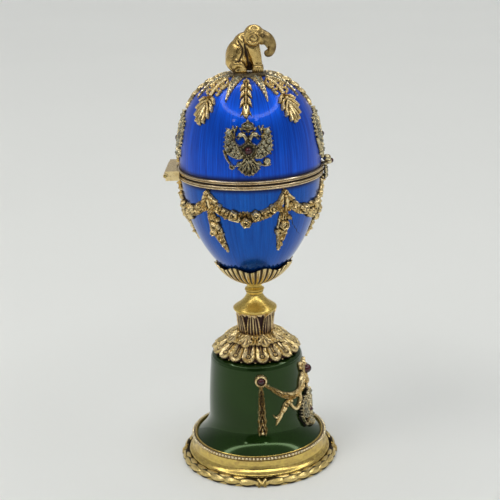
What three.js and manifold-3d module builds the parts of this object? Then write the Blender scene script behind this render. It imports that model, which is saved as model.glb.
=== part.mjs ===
// A jewelled egg on its stand: a hinged, enamelled egg with gilt and silver mounts, carried by
// a gilt stem and a nephrite bell. Millimetres, +Z up, origin at the centre of the underside.
// The clasp faces +X and the hinge -X. Turns are degrees from -Y towards +X.
import * as THREE from 'three';
import { mergeVertices } from 'three/addons/utils/BufferGeometryUtils.js';
import Module from 'manifold-3d';

const wasm = await Module();
wasm.setup();

// ---------------------------------------------------------------- driving dimensions
const GAP = 0.3; // clearance kept between neighbouring pieces
const WALL = 1.5; // enamelled metal wall of the egg
const SEAM_Z = 137; // where lid and bowl meet
const SEAM_GAP = 0.1;
const RIM = { inner: 29.3, outer: 32.3, height: 2.1, ridge: 0.45 };
const LID = { radius: 31.1, height: 40.2, power: 2.5, base: SEAM_Z + RIM.height };
const BOWL = { radius: 30.8, height: 49.1, power: 1.77, base: SEAM_Z - RIM.height };
const SHELL_SIDES = 24;

const FOOT = { radius: 33, height: 12, coveRadius: 30.3, stepZ: 3.6 };
const LAUREL = { radius: 34.7, thick: 2.1, leaves: 16 };
const BELL = { foot: 28.9, waist: 22.4, shoulder: 20.8, topZ: 51.7 };
const COLLAR = { radius: 19.8, tier: 13.6, neck: 8.3, lowZ: 52, topZ: 61.4, petals: 18 };
const DRUM = { top: 8.7, bottom: 7.9, topZ: 69.7, leaves: 8 };
const STEM = { domeRadius: 10, domeZ: 72.2, neckRadius: 3.4, knopRadius: 4.5, knopZ: 81, topZ: 84.6 };
const CALYX = { radius: 18.2, edgeZ: 96.2, dip: 2.2, flutes: 32, scallops: 8, turn: 18 };
const DISC = { radius: 7.3, thick: 0.6 };

const LID_TURNS = [0, 90, 180, 270]; // husks, and the eagle jewels below them
const SPRAY_TURNS = [45, 135, 225, 315];
const BOW_TURNS = [29, 90, 150, 210, 270, 325];
const BELL_FRONT = 74; // the bell's bow
const BELL_SIDE = 68; // from the bow to each ruby
const RUBY_ARC = 7.2; // from the bell's shoulder down to the rubies

// ---------------------------------------------------------------- materials
const finish = (color, roughness, metalness) =>
  new THREE.MeshStandardMaterial({ color, roughness, metalness });
const gilt = finish(0xc9a75c, 0.32, 1);
const polishedGold = finish(0xd9b765, 0.18, 1);
const silverGilt = finish(0xb9b294, 0.35, 1);
const blueEnamel = finish(0x1f46b0, 0.12, 0.1);
const nephrite = finish(0x2c4a31, 0.15, 0);
const ruby = finish(0x4a0d18, 0.08, 0);
const paleStone = finish(0x9fb0a0, 0.15, 0);

// ---------------------------------------------------------------- making solids
const vec = (x, y, z) => new THREE.Vector3(x, y, z);
const radians = THREE.MathUtils.degToRad;
const lerp = THREE.MathUtils.lerp;
const smooth = THREE.MathUtils.smoothstep;

/** A point at radius r and turn (radians) about the axis of the egg. */
const polar = (r, turn, z) => vec(r * Math.sin(turn), -r * Math.cos(turn), z);

/** Merges shared vertices, drops empty triangles and turns the faces outwards. */
function closed(geometry) {
  geometry.deleteAttribute('normal');
  geometry.deleteAttribute('uv');
  const merged = mergeVertices(geometry, 1e-3);
  const source = merged.index.array;
  const at = (i) => new THREE.Vector3().fromBufferAttribute(merged.attributes.position, i);
  const kept = [];
  let volume = 0;
  for (let i = 0; i < source.length; i += 3) {
    const [a, b, c] = [source[i], source[i + 1], source[i + 2]];
    if (a === b || b === c || c === a) continue;
    kept.push([a, b, c]);
    volume += at(a).dot(at(b).cross(at(c)));
  }
  const outward = volume > 0 ? kept : kept.map(([a, b, c]) => [a, c, b]);
  merged.setIndex(outward.flat());
  return merged;
}

/** A turned blank whose every vertex is moved by place(radius, height, angle). */
function shaped(profile, sides, place) {
  const points = profile.map(([r, h]) => new THREE.Vector2(r, h));
  const geometry = new THREE.LatheGeometry(points, sides);
  const position = geometry.attributes.position;
  for (let i = 0; i < position.count; i += 1) {
    const side = Math.floor(i / profile.length) % sides;
    const [r, h] = profile[i % profile.length];
    const p = place(r, h, (side / sides) * 2 * Math.PI);
    position.setXYZ(i, p.x, p.y, p.z);
  }
  return closed(geometry);
}

/** A solid turned about the axis of the egg. */
const turned = (profile, sides) => shaped(profile, sides, (r, z, angle) => polar(r, angle, z));

/** A closed skin over sections t = 0..1, each a ring of points place(t, angle, rho). */
function loft(sides, steps, place) {
  const profile = [[0, 0]];
  for (let i = 0; i <= steps; i += 1) profile.push([1, i / steps]);
  profile.push([0, 1]);
  return shaped(profile, sides, (rho, t, angle) => place(t, angle, rho));
}

function toManifold(geometry) {
  const vertProperties = new Float32Array(geometry.attributes.position.array);
  const triVerts = new Uint32Array(geometry.index.array);
  return new wasm.Manifold(new wasm.Mesh({ numProp: 3, vertProperties, triVerts }));
}

function fromManifold(solid) {
  const mesh = solid.getMesh();
  const geometry = new THREE.BufferGeometry();
  geometry.setAttribute('position', new THREE.BufferAttribute(mesh.vertProperties, 3));
  geometry.setIndex(Array.from(mesh.triVerts));
  return geometry;
}

const joined = (...parts) =>
  fromManifold(parts.map(toManifold).reduce((whole, part) => whole.add(part)));

const cutBy = (body, ...tools) =>
  fromManifold(tools.map(toManifold).reduce((left, tool) => left.subtract(tool), toManifold(body)));

/** A box between two corners. */
function block([x0, y0, z0], [x1, y1, z1]) {
  const box = new THREE.BoxGeometry(x1 - x0, y1 - y0, z1 - z0);
  box.translate((x0 + x1) / 2, (y0 + y1) / 2, (z0 + z1) / 2);
  return closed(box);
}

/** A rod along Y from y0 to y1. */
function rod(radius, x, z, y0, y1, sides) {
  const cylinder = new THREE.CylinderGeometry(radius, radius, y1 - y0, sides);
  cylinder.translate(x, (y0 + y1) / 2, z);
  return closed(cylinder);
}

/** A ball stretched to three half-axes, centred at a point and tilted about Y by degrees. */
function ball(centre, [a, b, c], sides, rings, tilt = 0) {
  const sphere = new THREE.SphereGeometry(1, sides, rings);
  sphere.rotateX(Math.PI / 2);
  sphere.scale(a, b, c);
  sphere.rotateY(radians(tilt));
  sphere.translate(...centre);
  return closed(sphere);
}

/** A limb: round sections [x, z, radius, halfDepth] about a line in the plane at depth y. */
function limb(y, stations, sides = 6) {
  const path = new THREE.CatmullRomCurve3(stations.map(([x, z]) => vec(x, y, z)));
  const last = stations.length - 1;
  const steps = last + 2;
  return loft(sides, steps, (t, angle, rho) => {
    const centre = path.getPoint(t);
    const along = path.getTangent(t);
    const across = vec(along.z, 0, -along.x);
    const i = Math.min(last - 1, Math.floor(t * last));
    const f = t * last - i;
    const radius = lerp(stations[i][2], stations[i + 1][2], f) * rho;
    const depth = lerp(stations[i][3], stations[i + 1][3], f) * rho;
    return centre
      .addScaledVector(across, radius * Math.cos(angle))
      .add(vec(0, depth * Math.sin(angle), 0));
  });
}

// ---------------------------------------------------------------- curved surfaces
/** Radius of a superelliptic half-egg at a height above (or below) its rim. */
const eggRadius = (egg, rise) =>
  egg.radius * Math.max(0, 1 - (rise / egg.height) ** egg.power) ** (1 / egg.power);

/** Half-egg outline from pole to rim, as [r, z]; sign +1 for the lid and -1 for the bowl. */
function eggOutline(egg, sign, steps, inset = 0) {
  const inner = { ...egg, radius: egg.radius - inset, height: egg.height - inset };
  const outline = [];
  for (let i = 0; i <= steps; i += 1) {
    const swing = ((i / steps) * Math.PI) / 2;
    const rise = inner.height * Math.cos(swing) ** (2 / egg.power);
    outline.push([eggRadius(inner, rise), egg.base + sign * rise]);
  }
  return outline;
}

/** Follows an outline [r, z] by arc length: at(arc) gives radius, height and outward normal. */
function follower(outline) {
  const arcs = [0];
  for (let i = 1; i < outline.length; i += 1) {
    const [r0, z0] = outline[i - 1];
    const [r1, z1] = outline[i];
    arcs.push(arcs[i - 1] + Math.hypot(r1 - r0, z1 - z0));
  }
  return (arc) => {
    let i = 1;
    while (i < arcs.length - 1 && arcs[i] < arc) i += 1;
    const f = (arc - arcs[i - 1]) / (arcs[i] - arcs[i - 1]);
    const [r0, z0] = outline[i - 1];
    const [r1, z1] = outline[i];
    const length = Math.hypot(r1 - r0, z1 - z0);
    return {
      r: lerp(r0, r1, f),
      z: lerp(z0, z1, f),
      nr: (z0 - z1) / length,
      nz: (r1 - r0) / length,
    };
  };
}

/** Places (across, arc, proud) on a followed surface: millimetres about a turn in degrees. */
function surface(follow) {
  return (turn, across, arc, proud) => {
    const { r, z, nr, nz } = follow(arc);
    const angle = radians(turn) + across / Math.max(r, 4);
    return polar(r + nr * proud, angle, z + nz * proud);
  };
}

const FINE = 160;
const onLid = surface(follower(eggOutline(LID, 1, FINE)));
const onBowl = surface(follower(eggOutline(BOWL, -1, FINE).reverse()));

/** The bell's side, from the shoulder down to the foot, as [r, z]. */
function bellSide() {
  const side = [
    [19.2, BELL.topZ - 0.2],
    [BELL.shoulder, 50],
    [21.3, 46],
    [BELL.waist, 32],
  ];
  const steps = 3;
  for (let i = 0; i <= steps; i += 1) {
    const t = i / steps;
    side.push([lerp(22.7, BELL.foot, t ** 2.6), lerp(24, FOOT.height - 0.4, t)]);
  }
  return side;
}
const onBell = surface(follower(bellSide()));

/** A raised, ridged strip on a surface: path(t) gives [turn, arc, halfWidth, height, slant]. */
function strip(on, steps, path) {
  const foot = Math.sin(radians(120));
  return loft(3, steps, (t, angle, rho) => {
    const [turn, arc, halfWidth, height, slant = 0] = path(t);
    const side = (Math.sin(angle) / foot) * rho * halfWidth;
    const lift = rho * Math.max(0, Math.cos(angle)) * height;
    const base = GAP + halfWidth ** 2 / (2 * LID.radius);
    return on(turn, Math.sin(slant) * side, arc + Math.cos(slant) * side, base + lift);
  });
}

/** Strip that runs down the surface, so that its width lies across. */
const UPRIGHT = Math.PI / 2;

/** A low boss whose outline is a star: reach(angle) in millimetres, domed to a height. */
function boss(on, turn, arc, reach, height, sides, { base = GAP, edge = 0.45 } = {}) {
  const profile = [[0, 0], [0.55, 0], [1, 0], [1, edge], [0.55, 1], [0, 1]];
  return shaped(profile, sides, (rho, level, angle) => {
    const distance = rho * reach(angle);
    return on(turn, distance * Math.sin(angle), arc - distance * Math.cos(angle), base + level * height);
  });
}

// ---------------------------------------------------------------- pieces of the egg
const INNER_STEPS = 4;
const OUTER_STEPS = 6;

/** A hollow half-egg with walls of true thickness, open at the seam. */
function shell(egg, sign) {
  const outer = eggOutline(egg, sign, OUTER_STEPS);
  const inner = eggOutline(egg, sign, INNER_STEPS, WALL).reverse();
  return turned([...outer, ...inner], SHELL_SIDES);
}

/** The gilt mount of a half: two ridges and the groove between them. */
function rim(sign) {
  const z = (share) => SEAM_Z + sign * lerp(SEAM_GAP / 2, RIM.height - 0.05, share);
  const { inner, outer, ridge } = RIM;
  return turned(
    [
      [inner, z(0)],
      [outer - ridge, z(0)],
      [outer, z(0.22)],
      [outer - ridge, z(0.5)],
      [outer, z(0.78)],
      [inner, z(1)],
      [inner, z(0)],
    ],
    SHELL_SIDES,
  );
}

const HINGE = { x: -36.7, barrel: 1.1, pin: 0.4, length: 24, middle: 1.5, knuckles: 5 };

/** A hinge leaf on one rim, with every other knuckle of the barrel. */
function hingeLeaf(sign) {
  const { x, barrel, pin, length, middle, knuckles } = HINGE;
  const y0 = middle - length / 2;
  const pitch = length / knuckles;
  const inward = RIM.outer + GAP;
  const levels = [SEAM_Z + sign * 0.05, SEAM_Z + sign * RIM.height];
  const low = Math.min(...levels);
  const high = Math.max(...levels);
  const keepOff = turned([[0, low - 1], [inward, low - 1], [inward, high + 1], [0, high + 1]], SHELL_SIDES);
  const first = sign > 0 ? 1 : 0;
  let leaf = cutBy(block([x, y0, low], [-29, y0 + length, high]), keepOff);
  for (let k = 0; k < knuckles; k += 1) {
    const a = y0 + k * pitch;
    const own = k % 2 === first;
    leaf = own
      ? joined(leaf, rod(barrel, x, SEAM_Z, a + GAP / 2, a + pitch - GAP / 2, 8))
      : cutBy(leaf, rod(barrel + GAP, x, SEAM_Z, a - GAP / 2, a + pitch + GAP / 2, 8));
  }
  return cutBy(leaf, rod(pin + GAP, x, SEAM_Z, y0 - 1, y0 + length + 1, 8));
}

function hingePin() {
  const half = HINGE.length / 2;
  return rod(HINGE.pin, HINGE.x, SEAM_Z, HINGE.middle - half, HINGE.middle + half, 8);
}

const APEX_Z = LID.base + LID.height;
const STAR = { radius: 9.6, thick: 0.4, rayStart: 8.8, rayEnd: 25.4 };

/** The plate on top of the egg with its eight narrow jewelled rays. */
function crownStar() {
  const top = APEX_Z + GAP + STAR.thick;
  const edge = onLid(0, 0, STAR.radius, GAP);
  const plate = turned(
    [[0, APEX_Z + GAP], [-edge.y, edge.z], [-edge.y, edge.z + 0.5], [DISC.radius, top], [0, top]],
    16,
  );
  const rays = [];
  for (let k = 0; k < 8; k += 1) {
    const turn = 22.5 + 45 * k;
    rays.push(
      strip(onLid, 3, (t) => [turn, lerp(STAR.rayStart, STAR.rayEnd, t), lerp(2.5, 0.4, t), 0.8, UPRIGHT]),
    );
  }
  return joined(plate, ...rays);
}

const HUSK = { start: 11.4, end: 32.2, bells: 4 };

/** A drop of husks, one under another, each flaring to its tips. */
function husk(turn) {
  const steps = HUSK.bells * 2;
  return strip(onLid, steps, (t) => {
    const flare = Math.round(t * steps) % 2;
    const widest = t < 0.08 || t > 0.95 ? 0.9 : 2.45;
    const halfWidth = flare ? widest : Math.min(widest, 1.5);
    return [turn, lerp(HUSK.start, HUSK.end, t), halfWidth, flare ? 1.3 : 0.9, UPRIGHT];
  });
}

const SPRAY = { start: 12.6, end: 36.4 };

/** An acanthus spray: a scrolled stem, a collar and a lobed leaf. */
function acanthus(turn) {
  const widths = [1.2, 2.6, 4.2, 3, 1.7, 4, 4.9, 4.4, 4.6, 2.6, 0.4];
  const steps = widths.length - 1;
  return strip(onLid, steps, (t) => {
    const halfWidth = widths[Math.round(t * steps)];
    return [turn, lerp(SPRAY.start, SPRAY.end, t), halfWidth, 1.2, UPRIGHT];
  });
}

/** Reach of the double-headed eagle from its middle, every 15 degrees from straight up:
 *  finial, crown, head and wings, claw, tail feathers and tail tip. */
const EAGLE_REACH = [10.8, 8.1, 9.8, 9.9, 10.3, 10.7, 10.5, 10.4, 8.5, 10.4, 8.6, 10.9, 12.4];

const eagleReach = (scale) => (angle) => {
  const side = Math.abs(angle > Math.PI ? angle - 2 * Math.PI : angle) / radians(15);
  const i = Math.min(EAGLE_REACH.length - 2, Math.floor(side + 1e-6));
  return scale * lerp(EAGLE_REACH[i], EAGLE_REACH[i + 1], side - i);
};

const EAGLE = { arc: 44.6, scale: 1, height: 1.1, bellScale: 0.68 };
const SHIELD_ARC = EAGLE.arc + 1;

/** A lozenge setting with its cabochon, standing on an eagle's breast. */
function shieldStone(on, turn, arc, size) {
  const reach = (angle) => size / (Math.abs(Math.cos(angle)) + Math.abs(Math.sin(angle)) * 1.15);
  return boss(on, turn, arc, reach, size * 0.32, 4, { base: EAGLE.height + 2 * GAP });
}

// ---------------------------------------------------------------- the elephant
/** A seated elephant in the round, trunk curled inwards, on its round plate. */
function elephant() {
  const floor = APEX_Z + GAP + STAR.thick + 0.1;
  const up = (z) => floor + DISC.thick + z;
  const depth = 3.4;
  const place = (stations) => stations.map(([x, z, r, d]) => [x, up(z), r, d]);
  const plate = turned(
    [[0, floor], [DISC.radius, floor], [DISC.radius, up(0)], [0, up(0)]],
    16,
  );
  const trunk = place([
    [6.6, 13.6, 3.2, 2.4], [9.6, 13.1, 2.6, 2], [11.3, 10.2, 1.7, 1.6], [11.1, 7.4, 1.3, 1.3],
    [9.6, 6, 1.05, 1.1], [8.2, 7, 0.8, 0.9], [8.9, 8.2, 0.5, 0.6],
  ]);
  const foreleg = place([
    [0.9, 12.2, 2.6, 1.5], [3, 7.4, 2.2, 1.5], [4.1, 3, 1.7, 1.4], [4.3, -0.2, 2.3, 1.7],
  ]);
  const hindleg = place([
    [-6.2, 1.7, 1.9, 1.4], [-3.6, 4.2, 2.1, 1.4], [-1.7, 2.4, 1.7, 1.4], [-2.2, -0.1, 1.8, 1.5],
  ]);
  const parts = [
    plate,
    ball([-4.2, 0, up(6.6)], [5.2, 4.9, 6.8], 9, 6, 14),
    ball([-0.9, 0, up(11.3)], [4.2, 4.3, 5.2], 8, 4, 30),
    ball([3.3, 0, up(14.9)], [4.5, 3.7, 4.7], 8, 6, 10),
    limb(0, trunk),
  ];
  for (const side of [-1, 1]) {
    parts.push(limb(side * 2.5, foreleg, 5));
    parts.push(limb(side * 4, hindleg, 5));
    parts.push(ball([2.4, side * depth, up(14.6)], [2.9, 1.1, 3.1], 6, 3, 20));
  }
  return joined(...parts);
}

// ---------------------------------------------------------------- garlands on the bowl
/** A swag of roses and daisies between two bows, deepest midway. */
function swag(turnA, turnB) {
  const margin = 8.2;
  const steps = 10;
  return strip(onBowl, steps, (t) => {
    const bell = Math.sin(Math.PI * t);
    const bloom = 1 + 0.13 * Math.cos(Math.PI * Math.round(t * steps));
    const turn = lerp(turnA + margin, turnB - margin, t);
    return [turn, 7.6 + 4.3 * bell, (2.3 + 1.5 * bell) * bloom, (1.7 + 0.9 * bell) * bloom];
  });
}

/** A ribbon bow with its drop of roses, tapering to a bud. */
function bowDrop(turn) {
  const widths = [0.7, 2.6, 3.7, 2.9, 3.4, 2.4, 3.5, 2.9, 1.9, 1.4, 0.4];
  const heights = [0.8, 0.9, 1.1, 1.9, 2, 1.6, 2.5, 2.1, 1.6, 1.3, 0.6];
  const steps = widths.length - 1;
  return strip(onBowl, steps, (t) => {
    const i = Math.round(t * steps);
    return [turn, lerp(1.1, 30, t), widths[i], heights[i], UPRIGHT];
  });
}

// ---------------------------------------------------------------- the stand
/** The fluted cup under the bowl, with its scalloped edge. */
function calyx() {
  const { radius, edgeZ, dip, flutes, scallops, turn } = CALYX;
  const outline = [[4.6, 0, 0], [10.8, 0.28, 0.35], [radius, 1, 0.45]];
  const seat = (r) => {
    const share = Math.min(1, (r / BOWL.radius) ** BOWL.power);
    return BOWL.base - BOWL.height * (1 - share) ** (1 / BOWL.power) - GAP;
  };
  const profile = [[0, 0], [1, 0], [2, 0], [3, 0], [3, 1], [2, 1], [1, 1], [0, 1]];
  return shaped(profile, flutes * 2, (row, inside, angle) => {
    if (row === 0) return polar(0, 0, inside ? seat(0) - GAP : STEM.topZ + 0.15);
    const edge = Math.cos((angle - radians(turn)) * scallops);
    const [r0, rise, flute] = outline[row - 1];
    const wave = Math.cos(angle * flutes) * flute;
    const shift = (row === 3 ? 1 : 0) * edge * dip * 0.5;
    const r = r0 + shift * 0.75;
    if (inside) {
      const inner = [0, 6.5, 12, r - 1.1][row];
      return polar(inner, angle, seat(inner) - (row === 3 ? 0 : GAP));
    }
    const z = lerp(STEM.topZ + 0.15, edgeZ - 0.9, rise) + shift;
    return polar(r + wave, angle, z);
  });
}

/** The turned stem: domed foot, neck, knop and fillet. */
function stem() {
  const { domeRadius, domeZ, neckRadius, knopRadius, knopZ, topZ } = STEM;
  return turned(
    [
      [0, DRUM.topZ + 0.1],
      [DRUM.top + 0.2, DRUM.topZ + 0.1],
      [domeRadius, domeZ - 0.6],
      [domeRadius - 0.1, domeZ + 0.3],
      [7.4, 74.3],
      [4.9, 76.4],
      [neckRadius + 0.1, 78.8],
      [knopRadius - 0.4, knopZ - 1.1],
      [knopRadius, knopZ],
      [neckRadius, knopZ + 1.6],
      [neckRadius + 0.9, topZ],
      [0, topZ],
    ],
    14,
  );
}

/** The tapered drum, wrapped in upright palm leaves. */
function drum() {
  const { top, bottom, topZ, leaves } = DRUM;
  const levels = [0, 0.5, 1];
  const profile = [[0, 0], ...levels.map((level) => [1, level]), [0, 1]];
  return shaped(profile, leaves * 4, (rho, level, angle) => {
    const phase = ((angle * leaves) / (2 * Math.PI)) % 1;
    const fromRib = Math.min(phase, 1 - phase) * 2;
    const hollow = smooth(fromRib, 0.4, 1) * lerp(0.15, 0.75, level);
    const r = lerp(bottom, top, level) - hollow * rho;
    return polar(rho * r, angle, lerp(COLLAR.topZ + 0.1, topZ, level));
  });
}

/** The collar of eighteen round-ended petals, with the smaller tier above them. */
function collar() {
  const { radius, tier, neck, lowZ, topZ, petals } = COLLAR;
  const rows = [
    [0, lowZ], [radius - 0.8, lowZ], [radius, lowZ + 0.9], [tier + 1.6, 56.6],
    [tier - 0.6, 58.4], [neck, topZ], [0, topZ],
  ];
  return shaped(
    rows.map((_, i) => [i === 0 || i === rows.length - 1 ? 0 : 1, i]),
    petals * 3,
    (rho, row, angle) => {
      const [r, z] = rows[row];
      const phase = ((angle * petals) / (2 * Math.PI)) % 1;
      const seam = phase < 0.01 || phase > 0.99;
      const lobe = row > 0 && row < 3 && seam ? 1.3 : 0;
      const fold = row === 3 && seam ? 0.5 : 0;
      return polar(rho * (r - lobe), angle, z - fold);
    },
  );
}

function bell() {
  const side = bellSide();
  return turned([[0, FOOT.height - 0.4], ...side.reverse(), [17, BELL.topZ], [0, BELL.topZ]], 24);
}

function foot() {
  const { radius, height, coveRadius, stepZ } = FOOT;
  return turned(
    [
      [0, 0],
      [radius - 0.5, 0],
      [radius - 0.5, stepZ - 0.9],
      [radius, stepZ],
      [coveRadius + 0.3, 6.6],
      [coveRadius - 0.2, 9.6],
      [BELL.foot + 0.9, height - 0.9],
      [BELL.foot + 1, height + 0.1],
      [BELL.foot + GAP, height + 0.1],
      [BELL.foot + GAP, height - 0.7],
      [0, height - 0.7],
    ],
    24,
  );
}

/** A ring of beads, fused, under the lip of the foot. */
function beadBorder() {
  const r = BELL.foot + 1.9;
  const z = FOOT.height - 1.2;
  const size = 0.55;
  return turned([[r - size, z], [r, z - size], [r + size, z], [r, z + size], [r - size, z]], 24);
}

/** The wreath of overlapping leaves round the foot. */
function laurelBorder() {
  const { radius, thick, leaves } = LAUREL;
  const inner = FOOT.radius - 0.5 + GAP;
  const profile = [[0, 0], [1, 0], [2, 1], [1, 2], [0, 2], [0, 0]];
  return shaped(profile, leaves * 3, (out, level, angle) => {
    const phase = Math.round((angle * leaves * 3) / (2 * Math.PI)) % 3;
    const swell = phase === 0 ? -0.35 : 0.3;
    const r = [inner, radius + 0.8 + swell * 0.3, radius + thick + swell * 0.8][out];
    const z = [0, 1.7, 2.6 + (out === 0 ? 0 : swell * 0.7)][level];
    return polar(r, angle, z);
  });
}

/** A ring setting standing on the bell, to hold a cabochon. */
function collet(turn) {
  const radius = 2.6;
  const profile = [[0, 0], [1, 0], [1, 1], [0.72, 1], [0.72, 0.4], [0, 0.4]];
  return shaped(profile, 10, (rho, level, angle) => {
    const across = rho * radius * Math.sin(angle);
    const down = rho * radius * Math.cos(angle);
    return onBell(turn, across, RUBY_ARC - down, GAP + level * 1.5);
  });
}

function rubyStone(turn) {
  return boss(onBell, turn, RUBY_ARC, () => 1.55, 0.9, 6, { base: 1.2 });
}

/** The narrow laurel drop below a ruby. */
function laurelDrop(turn) {
  return strip(onBell, 7, (t) => {
    const ripple = Math.round(t * 7) % 2 ? 1 : 0.75;
    const halfWidth = lerp(0.9, 2.3, t) * ripple;
    const arc = lerp(RUBY_ARC + 3, RUBY_ARC + 24.5, t);
    return [turn, arc, t > 0.97 ? 0.7 : halfWidth, 1.2, UPRIGHT];
  });
}

/** The laurel swag from a ruby up to the bow, tied by a ribbon. */
function bellSwag(fromTurn, toTurn) {
  return strip(onBell, 8, (t) => {
    const sag = Math.sin(Math.PI * t ** 0.9);
    const turn = lerp(fromTurn, toTurn, t);
    const arc = RUBY_ARC + 1.2 + 9.4 * sag - 1.5 * t;
    return [turn, arc, 1 + 0.7 * sag, 1.3 + 0.4 * sag];
  });
}

/** The bow on the front of the bell. */
function bellBow() {
  const reach = (angle) => 3.6 + 1.4 * Math.abs(Math.sin(2 * angle));
  return boss(onBell, BELL_FRONT, RUBY_ARC - 1.2, reach, 1.3, 8);
}

function bellCabochon() {
  return boss(onBell, BELL_FRONT, RUBY_ARC - 1.2, () => 2.1, 1.7, 8, { base: 2.2, edge: 0.2 });
}

// ---------------------------------------------------------------- the clasp
const CLASP = { flowerZ: 135, flower: 2.7, studZ: 140.9, stud: 1.8 };

/** The jewelled flower that hangs over the seam. */
function claspFlower() {
  const profile = [[0, 0], [1, 0], [1, 0.5], [0.5, 1], [0, 1]];
  return shaped(profile, 12, (rho, level, angle) => {
    const petal = 1 + 0.14 * Math.cos(angle * 6);
    const reach = rho * CLASP.flower * petal;
    const x = RIM.outer + GAP + level * 1.5;
    return vec(x, reach * Math.sin(angle), CLASP.flowerZ + reach * Math.cos(angle));
  });
}

/** The thumb piece above it: a gold ball that holds a dark cabochon. */
function claspStud() {
  const x = RIM.outer + 2 * GAP + CLASP.stud;
  return joined(
    ball([x, 0, CLASP.studZ], [CLASP.stud, CLASP.stud, CLASP.stud * 1.1], 8, 5),
    ball([x + 1, 0, CLASP.studZ - 1.2], [1.1, 1.1, 1.1], 6, 3),
  );
}

// ---------------------------------------------------------------- the whole egg
const egg = new THREE.Group();
const lid = new THREE.Group();
const stand = new THREE.Group();
egg.add(lid, stand);

function add(group, name, geometry, material) {
  const mesh = new THREE.Mesh(geometry, material);
  mesh.name = name;
  group.add(mesh);
}

add(lid, 'lid_shell', shell(LID, 1), blueEnamel);
add(lid, 'lid_rim', rim(1), gilt);
add(lid, 'lid_hinge_leaf', hingeLeaf(1), gilt);
add(lid, 'crown_star', crownStar(), gilt);
add(lid, 'elephant', elephant(), gilt);
add(lid, 'clasp_flower', claspFlower(), silverGilt);
add(lid, 'clasp_stud', claspStud(), gilt);
LID_TURNS.forEach((turn, i) => {
  add(lid, `husk_drop_${i + 1}`, husk(turn), gilt);
  const eagle = boss(onLid, turn, EAGLE.arc, eagleReach(EAGLE.scale), EAGLE.height, 24);
  add(lid, `eagle_${i + 1}`, eagle, silverGilt);
  add(lid, `eagle_stone_${i + 1}`, shieldStone(onLid, turn, SHIELD_ARC, 3.6), paleStone);
});
SPRAY_TURNS.forEach((turn, i) => add(lid, `acanthus_${i + 1}`, acanthus(turn), gilt));

add(stand, 'bowl_shell', shell(BOWL, -1), blueEnamel);
add(stand, 'bowl_rim', rim(-1), gilt);
add(stand, 'bowl_hinge_leaf', hingeLeaf(-1), gilt);
add(stand, 'hinge_pin', hingePin(), gilt);
BOW_TURNS.forEach((turn, i) => {
  const next = BOW_TURNS[i + 1] ?? BOW_TURNS[0] + 360;
  add(stand, `flower_swag_${i + 1}`, swag(turn, next), gilt);
  add(stand, `bow_drop_${i + 1}`, bowDrop(turn), gilt);
});
add(stand, 'calyx', calyx(), polishedGold);
add(stand, 'stem', stem(), polishedGold);
add(stand, 'palm_drum', drum(), gilt);
add(stand, 'petal_collar', collar(), gilt);
add(stand, 'nephrite_bell', bell(), nephrite);
add(stand, 'bell_bow', bellBow(), gilt);
add(stand, 'bell_cabochon', bellCabochon(), ruby);
const bellEagleReach = eagleReach(EAGLE.bellScale);
const bellEagle = boss(onBell, BELL_FRONT + 3, RUBY_ARC + 17, bellEagleReach, EAGLE.height, 24);
add(stand, 'bell_eagle', bellEagle, silverGilt);
add(stand, 'bell_eagle_stone', shieldStone(onBell, BELL_FRONT + 3, RUBY_ARC + 17.6, 2.4), paleStone);
[-1, 1].forEach((side, i) => {
  const turn = BELL_FRONT + side * BELL_SIDE;
  add(stand, `bell_swag_${i + 1}`, bellSwag(turn - side * 8, BELL_FRONT + side * 13), gilt);
  add(stand, `ruby_collet_${i + 1}`, collet(turn), gilt);
  add(stand, `ruby_${i + 1}`, rubyStone(turn), ruby);
  add(stand, `laurel_drop_${i + 1}`, laurelDrop(turn), gilt);
});
add(stand, 'foot', foot(), gilt);
add(stand, 'bead_border', beadBorder(), gilt);
add(stand, 'laurel_border', laurelBorder(), gilt);

export default egg;
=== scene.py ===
import math

import bpy
import numpy as np
from mathutils import Matrix, Vector


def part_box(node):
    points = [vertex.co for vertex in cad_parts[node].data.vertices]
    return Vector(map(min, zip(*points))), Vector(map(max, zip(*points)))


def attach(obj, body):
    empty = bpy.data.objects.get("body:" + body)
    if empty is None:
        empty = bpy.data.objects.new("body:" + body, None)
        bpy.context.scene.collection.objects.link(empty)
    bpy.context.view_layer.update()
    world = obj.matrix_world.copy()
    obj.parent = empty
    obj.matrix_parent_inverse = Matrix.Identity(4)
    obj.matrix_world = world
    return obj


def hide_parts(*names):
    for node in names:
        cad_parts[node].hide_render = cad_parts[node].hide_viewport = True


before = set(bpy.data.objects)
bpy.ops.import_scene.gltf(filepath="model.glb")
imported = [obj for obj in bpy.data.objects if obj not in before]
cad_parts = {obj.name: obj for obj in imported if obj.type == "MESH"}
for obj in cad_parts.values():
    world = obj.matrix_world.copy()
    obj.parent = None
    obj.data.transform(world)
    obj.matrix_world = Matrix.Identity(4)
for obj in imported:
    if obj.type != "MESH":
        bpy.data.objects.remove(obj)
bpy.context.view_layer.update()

bl_info = {
    "name": "Jewelled egg on a nephrite stand",
    "version": (1, 0, 0),
    "blender": (4, 5, 0),
    "location": "View3D > Sidebar > Jewelled egg",
    "description": "Builds the enamelled egg, its gilt mounts and its stand on the packed frame",
    "category": "Object",
}

# All shapes are worked out in millimetres, +Z up, with turns in degrees from -Y towards +X,
# and scaled to metres when a piece becomes a mesh.
MM = 0.001
# How far the ruby settings stand off the bell.
GAP = 0.3


def mm_box(node):
    """Lowest and highest corner of a CAD node in millimetres."""
    low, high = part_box(node)
    return np.array(low) / MM, np.array(high) / MM


def top_of(node):
    return mm_box(node)[1][2]


def bottom_of(node):
    return mm_box(node)[0][2]


def reach_of(node):
    return mm_box(node)[1][0]


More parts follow.
